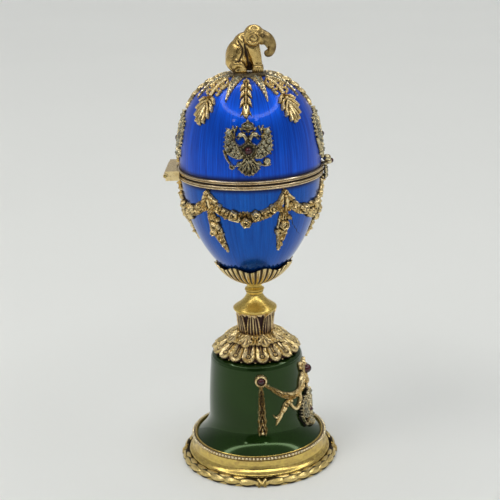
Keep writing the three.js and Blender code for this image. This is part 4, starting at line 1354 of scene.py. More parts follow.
WING = [(6.2, 159.6), (7.2, 161.0), (8.5, 161.2), (9.2, 159.8), (9.6, 157.6), (9.9, 154.6), (10.0, 152.2),
        (8.9, 150.5),
        (7.2, 149.4), (5.2, 148.5), (2.2, 148.7), (2.2, 153.6), (4.4, 154.2), (5.5, 156.2), (6.0, 158.2),
        (6.2, 159.6)]
WING_STONES = [(7.8, 159.2, 0.95), (8.5, 155.7, 0.95), (8.6, 152.6, 1.0), (6.9, 150.6, 0.74),
               (7.2, 157.3, 0.5),
               (6.2, 155.1, 0.66), (5.2, 153.2, 0.66), (7.2, 153.8, 0.52), (4.2, 151.7, 0.58),
               (4.9, 149.7, 0.66),
               (2.9, 149.6, 0.5), (6.0, 151.9, 0.55), (6.3, 160.6, 0.42), (9.1, 157.4, 0.36),
               (9.5, 154.0, 0.34),
               (8.2, 150.9, 0.4)]
SMALL_STONES = [(0.0, 162.0, 0.72), (-1.45, 161.9, 0.5), (1.45, 161.9, 0.5), (-3.0, 158.4, 0.6),
                (3.0, 158.4, 0.6),
                (-3.8, 156.9, 0.42), (3.8, 156.9, 0.42), (-3.9, 146.5, 0.9), (4.1, 146.5, 0.85),
                (7.5, 147.4, 0.62),
                (0, 147.2, 0.45), (-2.4, 145.2, 0.36), (2.4, 145.2, 0.36), (0, 144.9, 0.4)]


def inside(piece, outline):
    """How deep each cell lies inside a closed outline (negative outside), in millimetres."""
    line = np.asarray(outline, float)
    far = np.full(piece.u.shape, 99.0)
    crossings = np.zeros(piece.u.shape, int)
    for a, b in zip(line[:-1], line[1:]):
        d = b - a
        s = np.clip(((piece.u - a[0]) * d[0] + (piece.v - a[1]) * d[1]) / max(d @ d, 1e-9), 0, 1)
        far = np.minimum(far, np.hypot(piece.u - a[0] - s * d[0], piece.v - a[1] - s * d[1]))
        between = (a[1] > piece.v) != (b[1] > piece.v)
        if abs(d[1]) > 1e-9:
            crossings += between & (piece.u < a[0] + (piece.v - a[1]) * d[0] / d[1])
    return np.where(crossings % 2 == 1, far, -far)


def eagle_relief():
    """The double-headed eagle, openwork, with the lozenge setting on its breast."""
    piece = Relief((-11.6, 33.0), (11.6, 58.0), 0.22)
    whole = (slice(None), slice(None))

    def flip(points):
        return [(u, z_to_arc(z)) for u, z in points]

    def plate(outline, height, dark, hem=0.0):
        deep = inside(piece, flip(outline))
        grain = 0.12 * np.cos(piece.u * 7.0) * np.cos(piece.v * 6.0)
        ridge = hem * np.exp(-(((deep - 0.22) / 0.17) ** 2))
        # Painted shade over each plate, the bed between the raised work, lighter along its raised hem.
        shade = np.clip(dark - ridge * 2, 0, 1)
        piece.put(whole, np.minimum(height + grain + ridge, STEEP * deep), shade)

    for side in (-1, 1):
        plate([(side * u, z) for u, z in WING], 0.85, 0.75, 0.5)
        for u, z, size in WING_STONES:
            piece.disc(side * u, z_to_arc(z), size + 0.34, 1.35, RIBBON, dark=0.15)
    for a, b in (((4.0, 152.6), (8.6, 154.2)), ((4.4, 151.0), (8.0, 151.4)), ((5.4, 154.6), (8.8, 157.2)),
                 ((5.8, 156.8), (8.2, 160.2)), ((3.4, 150.6), (5.6, 149.0))):
        piece.mirrored(flip([a, ((a[0] + b[0]) / 2, (a[1] + b[1]) / 2 + 0.3), b]), [0.25, 0.3, 0.2],
                       [1.3, 1.5, 1.2],
                       dark=0.1)
    plate([(0, 157.4), (2.6, 154.5), (2.4, 149.5), (1.6, 147.6), (0, 146.9), (-1.6, 147.6), (-2.4, 149.5),
           (-2.6, 154.5),
           (0, 157.4)], 0.9, 0.7)
    piece.mirrored(flip([(0.5, 154.8), (0.8, 156.6), (1.7, 158.3), (2.9, 158.8), (3.7, 158.2)]),
                   [0.85, 0.85, 0.9, 0.92, 0.6], [1.4, 1.5, 1.7, 1.8, 1.5], dark=0.25)
    piece.mirrored(flip([(3.6, 158.4), (4.5, 157.9), (4.7, 156.9)]), [0.5, 0.34, 0.14], [1.6, 1.45, 1.1])
    piece.mirrored(flip([(2.9, 157.6), (4.0, 156.9), (4.5, 156.4)]), [0.3, 0.26, 0.14], [1.3, 1.2, 1.0])
    for side in (-1, 1):
        piece.disc(side * 3.1, z_to_arc(158.4), 1.2, 1.9, dark=0.1)
        piece.disc(side * 2.8, z_to_arc(160.7), 0.72, 1.5)
        for u in (2.3, 3.4):
            piece.disc(side * u, z_to_arc(161.3), 0.42, 1.5)
        for u, z in ((5.2, 160.2), (4.5, 161.8), (6.1, 161.9)):
            piece.disc(side * u, z_to_arc(z), 0.55, 1.5)
    piece.mirrored(flip([(0, 163.1), (1.3, 163.3), (2.3, 162.3), (1.9, 160.9)]), [0.42, 0.45, 0.48, 0.42],
                   [1.5, 1.5, 1.5, 1.4])
    plate([(0, 163.2), (2.2, 162.7), (1.9, 160.9), (-1.9, 160.9), (-2.2, 162.7), (0, 163.2)], 0.9, 0.6)
    piece.stroke(flip([(-2.0, 160.9), (0, 160.6), (2.0, 160.9)]), [0.46, 0.48, 0.46], [1.4, 1.5, 1.4])
    piece.mirrored(flip([(0.3, 159.9), (1.4, 159.4), (2.2, 159.9)]), [0.3, 0.3, 0.24], [1.3, 1.3, 1.1],
                   dark=0.2)
    piece.stroke(flip([(0, 160.0), (0, 157.0)]), [0.3, 0.3], [1.1, 1.1], dark=0.4)
    piece.disc(0, z_to_arc(164.0), 0.8, 1.8)
    piece.mirrored(flip([(4.4, 161.9), (5.2, 160.2), (6.2, 162.0)]), [0.44, 0.46, 0.44], [1.3, 1.4, 1.3])
    piece.mirrored(flip([(5.2, 160.4), (5.6, 158.8), (5.5, 157.4)]), [0.42, 0.42, 0.42], [1.2, 1.3, 1.2])
    piece.mirrored(flip([(1.4, 148.9), (2.6, 147.4), (4.0, 146.5)]), [0.6, 0.6, 0.5], [1.4, 1.5, 1.4],
                   dark=0.2)
    for u in (-3.9, 4.1):
        piece.disc(u, z_to_arc(146.5), 1.3, 1.45, RIBBON, dark=0.1)
    piece.stroke(flip([(-10.3, 152.0), (-9.7, 150.2), (-8.9, 148.4), (-7.9, 147.0)]),
                 [0.55, 0.55, 0.55, 0.5],
                 [1.3, 1.4, 1.4, 1.3])
    piece.stroke(flip([(-4.9, 145.9), (-6.4, 145.6), (-7.5, 146.4), (-7.8, 145.3), (-7.0, 144.6),
                       (-6.2, 145.0)]),
                 [0.48, 0.52, 0.5, 0.55, 0.5, 0.45], [1.3, 1.4, 1.4, 1.4, 1.3, 1.2])
    piece.disc(7.5, z_to_arc(147.4), 1.5, 1.3, FLAT, dark=0.5)
    for k in range(12):
        a = math.pi * k / 6
        piece.disc(7.5 + 1.2 * math.cos(a), z_to_arc(147.4) + 1.2 * math.sin(a), 0.5, 1.5)
    piece.stroke(flip([(5.2, 146.2), (6.8, 145.6), (8.9, 145.9)]), [0.48, 0.48, 0.42], [1.3, 1.3, 1.2])
    plate([(-0.8, 147.8), (-3.4, 145.9), (-4.4, 144.4), (-3.0, 142.7), (0, 141.4), (3.0, 142.7),
           (4.4, 144.4),
           (3.4, 145.9), (0.8, 147.8), (-0.8, 147.8)], 0.7, 0.95)
    for tip, bow in (((4.2, 144.4), 0.9), ((2.9, 143.0), 0.6), ((1.5, 142.0), 0.3)):
        for shift in (-0.55, 0.55):
            middle = (tip[0] * 0.6 + shift * 0.8, (tip[1] + 147.6) / 2 + bow + shift * 0.5)
            piece.mirrored(flip([(0.4, 147.6), middle, tip]), [0.22, 0.28, 0.3], [1.2, 1.5, 1.5])
        piece.mirrored(flip([tip, (tip[0] + 0.25, tip[1] + 0.35)]), [0.46, 0.36], [1.6, 1.5])
    piece.stroke(flip([(0, 147.6), (0, 144.5), (0, 141.7)]), [0.4, 0.5, 0.36], [1.3, 1.5, 1.5], CREST)
    field = [(0, 156.3), (1.4, 155.0), (3.3, 153.8), (2.8, 151.3), (1.6, 149.8), (0, 148.7), (-1.6, 149.8),
             (-2.8, 151.3), (-3.3, 153.8), (-1.4, 155.0), (0, 156.3)]
    deep = inside(piece, flip(field))
    piece.height = np.where(deep > 0, 0.95, piece.height)
    piece.dark = np.where(deep > 0, 1.0, piece.dark)
    for a, b in zip(field[:-1], field[1:]):
        piece.stroke(flip([a, b]), [0.5, 0.5], [1.55, 1.55], over=True)
    piece.mirrored(flip([(6.7, 160.3), (6.3, 158.2), (5.2, 155.4), (3.6, 153.9)]), [0.42, 0.42, 0.42, 0.42],
                   [1.4, 1.5, 1.5, 1.4])
    for u, z in ((8.9, 161.0), (9.5, 159.3), (9.8, 157.4), (10.1, 155.5), (10.2, 153.7), (10.0, 151.9),
                 (9.2, 150.4)):
        for side in (-1, 1):
            piece.disc(side * u, z_to_arc(z), 0.5, 1.5)
    return piece


def dress_eagle(name, on, turn, scale, shift, nodes, body, rise=0.0):
    """One eagle jewel: the chased figure, its pale stones, its beads and the dark red stone."""
    figure = eagle_relief()

    def placed(turn_, u, v, lift):
        return on(turn_, np.asarray(u) * scale, (np.asarray(v) - 44.6) * scale + shift,
                  np.asarray(lift) * min(1, scale * 1.2) + rise)

    work = Work()
    figure.lay(work, placed, turn, sink=0.5 + rise)
    for u, z in ((0, 154.8), (1.95, 153.4), (-1.95, 153.4), (0, 150.1)):
        dome(work, placed, turn, u, z_to_arc(z), 0.34, 0.8, 1.6, sides=8, rings=3)
    work.build(name, metal("chased_silver_gilt"), body, nodes[:1])
    stones = Work()
    for u, z, size in WING_STONES:
        for side in (-1, 1):
            dome(stones, placed, turn, side * u, z_to_arc(z), size, 0.9, 1.3 + size * 0.75, sides=8,
                 rings=2, flat=0.5)
    for u, z, size in SMALL_STONES:
        dome(stones, placed, turn, u, z_to_arc(z), size, 0.9, 1.45 + size * 0.75, sides=8, rings=2,
             flat=0.5)
    stones.build(name + "_stones", pale_stone(), body, ())
    heart = Work()
    dome(heart, placed, turn, 0, z_to_arc(152.1), 1.42, 0.8, 2.2, sides=24, rings=6)
    heart.build(name + "_ruby", ruby(), body, nodes[1:])


# ------------------------------------------------------------------ flowers
def rose(piece, u, v, radius, height, turn=0.0):
    """An open rose: curled petals that wind in to the heart."""
    turns = max(1.8, radius * 1.25)

    def shape(rho, angle):
        a = angle + turn
        wind = rho * turns + a / (2 * math.pi) + 0.1 * np.sin(3 * a + 2)
        share = wind - np.floor(wind)
        ridge = np.exp(-(((share - 0.6) / 0.22) ** 2))
        broken = 0.75 + 0.25 * np.cos(a * 2.5 + np.floor(wind) * 2.2)
        body = height * (0.78 + 0.22 * np.sqrt(np.clip(1 - (rho * 0.95) ** 2.6, 0, 1)))
        edge = STEEP * radius * (0.94 + 0.06 * np.cos(5 * a) - rho)
        heart = np.exp(-((rho / 0.16) ** 2))
        rise = body - 0.5 + 0.85 * ridge * broken - 0.5 * heart
        # Painted shade in the crevices between the curled petals and in the heart.
        dark = np.clip(1.15 - 1.5 * ridge * broken, 0, 1) + 0.6 * heart
        return np.minimum(rise, edge), np.clip(dark, 0, 1)

    piece.polar(u, v, radius, shape)


def daisy(piece, u, v, radius, height, turn=0.0):
    """A round flat flower with a button heart."""
    petals = 5

    def shape(rho, angle):
        a = angle + turn
        lobe = np.abs(np.cos(a * petals / 2))
        limit = 0.86 + 0.14 * lobe**0.6
        button = np.sqrt(np.clip(1 - (rho / 0.32) ** 2, 0, 1)) * 0.5
        ring = np.exp(-(((rho - 0.38) / 0.09) ** 2))
        seam = np.exp(-((lobe / 0.3) ** 2)) * (rho > 0.35)
        rise = height * (0.7 + 0.2 * step_up(rho, 0.4, 0.8)) + button - 0.6 * ring - 0.6 * seam
        # Painted shade in the ring round the heart and in the seams between the petals.
        return np.minimum(rise, STEEP * radius * (limit - rho)), np.clip(ring + seam, 0, 1)

    piece.polar(u, v, radius, shape)


def leaf(piece, u, v, direction, length, half, height, over=False, dark=0.0):
    """A pointed leaf from (u, v), direction in degrees from +u towards +v."""
    a = math.radians(direction)
    path = [(u + math.cos(a) * length * s, v + math.sin(a) * length * s) for s in (0, 0.5, 1)]
    piece.stroke(path, [half * 0.5, half, half * 0.25], [height * 0.8, height, height * 0.85], LEAF,
                 over=over,
                 per=3, dark=dark)


def swag_line(x):
    """Depth of the middle line of a swag, x from -1 to 1 across it."""
    return 5.2 + 6.9 * np.clip(1 - np.abs(x) ** 2.2, 0, 1) ** 0.85


def swag_relief(length, seed):
    """A swag of leaves, roses and daisies."""
    half = length / 2
    piece = Relief((-half - 0.5, 1.0), (half + 0.5, 17.6), 0.235)
    random = np.random.default_rng(seed)
    count = int(length / 0.95)
    for k in range(count + 1):
        x = -1 + 2 * k / count
        u, v = x * half, float(swag_line(x))
        slope = math.degrees(math.atan2(float(swag_line(x + 0.02) - swag_line(x - 0.02)), 0.04 * half))
        inward = slope if x < 0 else slope + 180
        body = 1.15 + 1.75 * (1 - abs(x)) ** 0.55
        # The bed under the leaves is painted nearly black, as shade; the leaves get some painted shade too.
        piece.stroke([(u - 0.55, v), (u + 0.55, v)], [body * 0.86] * 2, [1.0 + 0.5 * (1 - abs(x))] * 2,
                     FLAT, per=1,
                     dark=0.95)
        for side in (-1, 1):
            sign = side if x < 0 else -side
            leaf(piece, u, v + side * body * 0.42, inward + sign * (27 + random.uniform(-7, 7)), 1.9, 0.44,
                 1.45 + 0.55 * (1 - abs(x)) + random.uniform(-0.1, 0.15), over=True, dark=0.42)
        leaf(piece, u, v, inward + random.uniform(-10, 10), 1.7, 0.38, 1.75 + 0.5 * (1 - abs(x)), over=True,
             dark=0.4)
    for k in range(11):
        a = 165 + 20 * k
        leaf(piece, 0.4 * math.cos(math.radians(a)), float(swag_line(0)) - 0.6, a + random.uniform(-6, 6),
             2.1, 0.7,
             2.1 + 0.1 * (k % 3), over=True, dark=0.3)
    for k in range(7):
        leaf(piece, -2.4 + 0.8 * k, float(swag_line(0)) - 0.4, 262 + random.uniform(-22, 22), 2.4, 0.5,
             2.25, over=True,
             dark=0.3)
    blooms = [("rose", -0.335, -0.75, 2.35), ("rose", 0.265, -0.8, 2.45), ("rose", 0.0, 1.95, 2.75),
              ("daisy", -0.545, 1.35, 1.25), ("rose", -0.5, -0.9, 1.2), ("daisy", 0.52, 0.35, 1.5),
              ("daisy", 0.745, -0.45, 2.1), ("daisy", -0.77, -0.75, 1.95), ("daisy", -0.66, 0.75, 1.2),
              ("daisy", 0.88, 0.5, 1.35), ("rose", -0.92, 0.7, 1.3), ("rose", 0.64, 1.3, 1.1)]
    for kind, x, off, size in blooms:
        u, v = x * half, float(swag_line(x)) + off
        if kind == "rose":
            rose(piece, u, v, size, 1.75 + size * 0.42, turn=random.uniform(0, 6))
        else:
            daisy(piece, u, v, size, 1.5 + size * 0.36, turn=random.uniform(0, 1))
    return piece


def drop_relief(lean, seed):
    """A ribbon bow with its hanging drop of roses."""
    piece = Relief((-5.2, 0.1), (8.6 if lean else 5.2, 31.4), 0.24)
    random = np.random.default_rng(seed)

    def side(v):
        return 0.0 if v < 9 else lean * (v - 7)

    widths = ([9.5, 11, 14, 18, 21, 24, 27, 30.2], [1.2, 2.1, 2.8, 3.1, 2.6, 1.9, 1.2, 0.4])
    for v in np.arange(10, 30.0, 0.7):
        half = float(np.interp(v, *widths))
        # The bed under the leaves is painted nearly black, as shade; the leaves get some painted shade too.
        piece.stroke([(side(v), v), (side(v), v + 0.7)], [half * 0.9] * 2, [1.1] * 2, FLAT, per=1,
                     dark=0.95)
    for v in np.arange(28.6, 9.4, -0.95):
        half = float(np.interp(v, *widths))
        for s in (-1, 1):
            leaf(piece, side(v) + s * half * 0.42, v - 0.9, 90 - s * (20 + random.uniform(-6, 6)), 1.7,
                 0.34 + half * 0.06, 1.4 + half * 0.18, over=True, dark=0.45)
        leaf(piece, side(v), v - 0.8, 90 + random.uniform(-10, 10), 1.7, 0.36, 1.6 + half * 0.15, over=True,
             dark=0.45)
    for kind, u, v, size in (("rose", 0.35, 16.6, 2.65), ("rose", -1.75, 19.8, 1.95),
                             ("daisy", 1.55, 20.9, 1.1),
                             ("daisy", 0.1, 23.4, 1.25), ("rose", 2.4, 13.6, 1.25),
                             ("rose", 0.15, 26.0, 1.05),
                             ("daisy", -1.2, 22.6, 0.85)):
        if kind == "rose":
            rose(piece, u + side(v), v, size, 1.7 + size * 0.42, turn=random.uniform(0, 6))
        else:
            daisy(piece, u + side(v), v, size, 1.5 + size * 0.36)
    for v, u in ((27.6, -0.35), (27.9, 0.4), (28.9, 0.0)):
        leaf(piece, side(v) + u, v, 90, 1.9, 0.42, 1.5, over=True)
    piece.stroke([(-0.5, 2.0), (-1.5, 3.8), (-2.3, 6.2), (-3.4, 7.9)], [0.8, 1.0, 0.95, 0.7],
                 [1.7, 1.8, 1.7, 1.4],
                 RIBBON, over=True)
    piece.stroke([(0.5, 2.0), (1.6, 3.3), (2.9, 4.6), (4.4, 5.2)], [0.8, 1.0, 1.0, 0.6],
                 [1.7, 1.9, 1.8, 1.3],
                 RIBBON, over=True)
    piece.stroke([(0.1, 3.0), (0.7, 5.4), (0.9, 8.4), (0.5, 10.4)], [0.8, 0.95, 0.85, 0.5],
                 [1.9, 2.0, 1.9, 1.5],
                 RIBBON, over=True)
    leaf(piece, -0.7, 4.4, 128, 3.0, 0.75, 2.0, over=True)
    leaf(piece, 1.3, 4.2, 40, 2.6, 0.7, 2.0, over=True)
    leaf(piece, 2.0, 6.6, 78, 2.6, 0.75, 1.8, over=True)
    piece.stroke([(-0.8, 1.7), (0.0, 1.0), (0.8, 1.7), (0.0, 2.4), (-0.8, 1.7)], [0.66] * 5, [2.0] * 5,
                 over=True)
    piece.disc(0, 3.3, 1.0, 2.4, over=True)
    daisy(piece, -2.1, 9.0, 1.55, 2.1)
    daisy(piece, 1.9, 9.5, 1.3, 2.0)
    return piece


def make_mount(relief, on, turn, name, body, node, **how):
    """Lays a relief on a surface as one piece of chased gilt."""
    work = Work()
    relief.lay(work, on, turn, **how)
    work.build(name, metal("chased_gilt"), body, [node])


def make_garlands():
    """The swags of the bowl and, between them, the bows with their drops."""
    for k, turn in enumerate(BOW_TURNS):
        after = (BOW_TURNS + [BOW_TURNS[0] + 360])[k + 1]
        middle, span = (turn + after) / 2, after - turn
        length = math.radians(span) * 30.6 - 3.0
        swag = swag_relief(length, 11 + k)
        make_mount(swag, ON_BOWL, middle, f"rose_swag_{k + 1}", "stand", f"flower_swag_{k + 1}", shade=0.3)
        drop = drop_relief(0.17 if turn == BOW_TURNS[-1] else 0.0, 31 + k)
        make_mount(drop, ON_BOWL, turn, f"rose_drop_{k + 1}", "stand", f"bow_drop_{k + 1}", shade=0.3)


def make_lid_mounts():
    """Husk chains, acanthus sprays and eagle jewels, each four times round the lid."""
    husk = husk_relief()
    spray = acanthus_relief()
    for k in range(4):
        make_mount(husk, ON_LID, 90 * k - 0.6, f"husk_chain_{k + 1}", "lid", f"husk_drop_{k + 1}")
        make_mount(spray, ON_LID, 45 + 90 * k, f"acanthus_spray_{k + 1}", "lid", f"acanthus_{k + 1}")
        nodes = [f"eagle_{k + 1}", f"eagle_stone_{k + 1}"]
        dress_eagle(f"eagle_jewel_{k + 1}", ON_LID, 90 * k + 0.8, 1.0, 44.2, nodes, "lid")


# ------------------------------------------------------------------ mounts of the bell
def laurel_drop_relief():
    """A hanging tail of long overlapping laurel leaves that widens to a round end."""
    piece = Relief((-3.2, 9.6), (3.2, 34.4), 0.2)
    # Painted shade on the bed, and dark lines of painted shade between the leaves.
    piece.stroke([(0, 10.2), (0, 20), (0, 28.0), (0, 31.4)], [0.7, 1.35, 1.9, 1.7], [1.0, 1.15, 1.3, 1.2],
                 FLAT, dark=0.3)
    piece.disc(0, 32.0, 1.35, 2.1, over=True)
    for v, half, length in ((27.6, 1.12, 5.4), (23.0, 1.02, 5.8), (18.6, 0.9, 5.8), (14.4, 0.76, 5.4),
                            (11.2, 0.6, 4.4)):
        for s in (-1, 1):
            leaf(piece, s * half * 1.05, v + 0.6, 90 - s * 3, length, half * 0.9, 1.75, over=True)
        for s in (-1, 1):
            leaf(piece, s * half * 0.12, v - 1.3, 90 - s * 15, length, half * 0.82, 2.0, over=True)
        piece.mirrored([(0.1, v + 0.9), (half * 0.55, v + 2.6), (half * 0.8, v + 4.2)], [0.26, 0.3, 0.24],
                       [1.1, 1.0, 1.0],
                       FLAT, over=True, dark=1.0)
    piece.stroke([(-0.9, 10.2), (0, 10.5), (0.9, 10.2)], [0.4, 0.45, 0.4], [1.6, 1.8, 1.6], over=True)
    return piece


def ring_of(count, radius, phase=0.0):
    """Places round a circle, as (across, up)."""
    angles = [phase + 2 * math.pi * k / count for k in range(count)]
    return [(radius * math.sin(a), radius * math.cos(a)) for a in angles]


def ring_round(work, turn, arc, places, *shape, **fine):
    """Beads on the bell round a stone at arc; shape is what dome takes after the place."""
    for across, up in places:
        dome(work, ON_BELL, turn, across, arc - up, *shape, **fine)


def make_collet(side, turn):
    """The round setting of a ruby, with its claws, its beads and the stone."""
    work = Work()
    angle = np.arange(32) * 2 * math.pi / 32
    section = [(1.75, 0.0), (2.45, 0.0), (2.55, 0.35), (2.35, 0.6), (2.3, 1.3), (2.45, 1.75), (2.2, 1.95),
               (1.85, 1.9),
               (1.75, 1.4)]
    points = []
    for rho, lift in section:
        points.append(ON_BELL(turn, rho * np.sin(angle), RUBY_ARC - rho * np.cos(angle), GAP + lift))
    points = np.array(points).reshape(-1, 3)
    n = len(section)
    last = (n - 1) * 32
    ring, after = np.arange(32), (np.arange(32) + 1) % 32
    # Painted shade at the foot of the setting and in its grooves.
    work.add(points, [grid_faces(n, 32, wrap=True), np.stack([last + ring, last + after, after, ring], -1)],
             np.repeat([1, 0.8, 0.3, 0.9, 0.5, 0, 0, 0.3, 0.8], 32))
    ring_round(work, turn, RUBY_ARC, ring_of(8, 2.1, math.radians(22.5)), 0.34, 1.6, 2.65, sides=8, rings=3)
    ring_round(work, turn, RUBY_ARC, ring_of(28, 2.72), 0.24, -0.1, 0.7, sides=6, rings=2)
    work.build(f"stone_collet_{side}", metal("chased_gilt"), "stand", [f"ruby_collet_{side}"])
    stone = Work()
    dome(stone, ON_BELL, turn, 0, RUBY_ARC, 1.84, 0.6, 2.75, sides=40, rings=9)
    stone.build(f"bell_ruby_{side}", ruby(), "stand", [f"ruby_{side}"])


def bell_rope(out):
    """The twisted laurel rope from a ruby towards the bow, with its fluttering ribbon. It is laid
    round the middle of its run; out is 1 where it leaves the ruby in the sense of growing turns."""
    piece = Relief((-14.6, 6.0), (14.6, 31.0), 0.215)

    def line(points):
        return [(u * out, v) for u, v in points]

    rope = curve(line([(-12.6, 8.4), (-10.4, 9.8), (-8.3, 11.4), (-6.3, 12.9), (-4.0, 14.6), (-1.7, 15.9),
                       (1.8, 17.0), (4.2, 17.2), (6.4, 16.8), (8.4, 15.9), (10.2, 14.6), (11.6, 12.8),
                       (12.6, 10.8), (13.2, 8.6)]), 6)
    n = len(rope)
    share = np.linspace(0, 1, n)
    body = np.interp(share, [0, 0.15, 0.45, 0.7, 0.9, 1], [0.45, 0.95, 1.75, 1.6, 1.2, 0.9])
    # The bed under the leaves gets painted shade.
    piece.stroke(rope[::3], body[::3], np.full(len(rope[::3]), 1.1), FLAT, per=3, dark=0.55)
    for k in range(n - 2, -1, -4):
        ahead = rope[min(n - 1, k + 3)] - rope[max(0, k - 1)]
        way = math.degrees(math.atan2(ahead[1], ahead[0]))
        side = np.array([-math.sin(math.radians(way)), math.cos(math.radians(way))])
        size = body[k]
        row = (k // 4) % 3
        for s, tilt in (((-0.62, 8), (0.38, -17)), ((0.62, -8), (-0.38, 17)), ((0.0, 14), (0.66, -6)))[row]:
            place = rope[k] + side * s * size
            leaf(piece, place[0], place[1], way + tilt, 3.2 + size * 0.9, 0.34 + size * 0.26,
                 1.7 + 0.35 * size,
                 over=True)
    piece.stroke(line([(6.4, 17.6), (7.6, 18.8), (7.9, 20.6), (7.0, 22.6), (5.2, 23.9), (3.2, 23.6),
                       (1.5, 21.9),
                       (0.6, 19.9)]), [0.7, 0.8, 0.9, 0.95, 0.95, 0.9, 0.8, 0.6], [1.5] * 8, RIBBON,
                 over=True)
    piece.stroke(line([(0.9, 18.6), (-0.4, 19.2), (-1.8, 20.4), (-3.0, 22.0), (-4.4, 24.0)]),
                 [1.1, 1.25, 1.3, 1.15, 0.95], [1.9, 2.0, 1.9, 1.7, 1.5], RIBBON, over=True)
    for u, v in ((-1.3, 20.0), (-2.1, 20.9)):
        piece.stroke(line([(u - 0.95, v - 0.75), (u + 0.95, v + 0.75)]), [0.24, 0.24], [2.35, 2.35],
                     over=True)
    piece.stroke(line([(-4.1, 23.6), (-5.6, 25.0), (-7.2, 25.3), (-8.3, 24.0)]), [0.8, 0.75, 0.6, 0.2],
                 [1.6, 1.5, 1.5, 1.4], RIBBON, over=True)
    piece.stroke(line([(-4.2, 23.6), (-5.2, 25.6), (-6.3, 27.2), (-7.2, 29.4)]), [0.85, 0.8, 0.7, 0.22],
                 [1.6, 1.6, 1.5, 1.3], RIBBON, over=True)
    piece.disc(0.8 * out, 19.0, 1.0, 2.1, over=True)
    return piece


def bell_bow_relief():
    """The ribbon bow on the front of the bell."""
    piece = Relief((-8.0, 1.2), (8.0, 19.8), 0.2)
    for side in (-1, 1):
        piece.stroke([(side * 0.6, 7.8), (side * 2.4, 9.8), (side * 4.3, 12.2), (side * 5.7, 15.2),
                      (side * 6.3, 17.8)],
                     [0.6, 1.0, 1.15, 1.05, 0.8], [1.6, 1.9, 1.9, 1.7, 1.5], RIBBON, over=True)
        piece.stroke([(side * 0.8, 8.2), (side * 1.4, 10.6), (side * 1.6, 13.2), (side * 2.4, 15.8)],
                     [0.7, 0.95, 0.9, 0.6], [1.7, 1.8, 1.7, 1.3], RIBBON, over=True)
        piece.stroke([(side * 0.6, 6.8), (side * 1.8, 5.0), (side * 3.4, 4.6), (side * 3.9, 6.0),
                      (side * 2.6, 7.4),
                      (side * 0.9, 7.8)], [0.6, 0.75, 0.8, 0.75, 0.7, 0.6], [1.6, 1.8, 1.7, 1.7, 1.7, 1.6],
                     RIBBON,
                     over=True)
    # Painted shade on the plate under the cabochon.
    piece.disc(0, RUBY_ARC + 1.0, 2.6, 1.9, FLAT, over=True, dark=0.3)
    return piece


def make_bell_mounts():
    """The bow, cabochon and eagle on the front of the bell, and the ropes, rubies and tails."""
    bow = Work()
    bow_turn, bow_arc = BELL_FRONT + 2, RUBY_ARC + 1.0
    bell_bow_relief().lay(bow, ON_BELL, bow_turn)
    ring_round(bow, bow_turn, bow_arc, ring_of(24, 2.45), 0.28, 1.5, 2.25, sides=6, rings=2)
    bow.build("front_bow", metal("chased_gilt"), "stand", ["bell_bow"])
    stone = Work()
    dome(stone, ON_BELL, bow_turn, 0, bow_arc, 2.3, 1.3, 4.4, sides=40, rings=9)
    stone.build("front_cabochon", ruby(), "stand", ["bell_cabochon"])
    dress_eagle("bell_eagle_jewel", ON_BELL, BELL_FRONT + 5, 0.82, RUBY_ARC + 20.2,
                ["bell_eagle", "bell_eagle_stone"], "stand", rise=1.1)
    drop = laurel_drop_relief()
    for number, side in ((1, -1), (2, 1)):
        turn = BELL_FRONT + side * BELL_SIDE
        make_collet(number, turn)
        make_mount(drop, ON_BELL, turn, f"laurel_tail_{number}", "stand", f"laurel_drop_{number}",
                   shade=0.45)
        make_mount(bell_rope(-side), ON_BELL, turn - side * 34, f"laurel_rope_{number}", "stand",
                   f"bell_swag_{number}", shade=0.32)


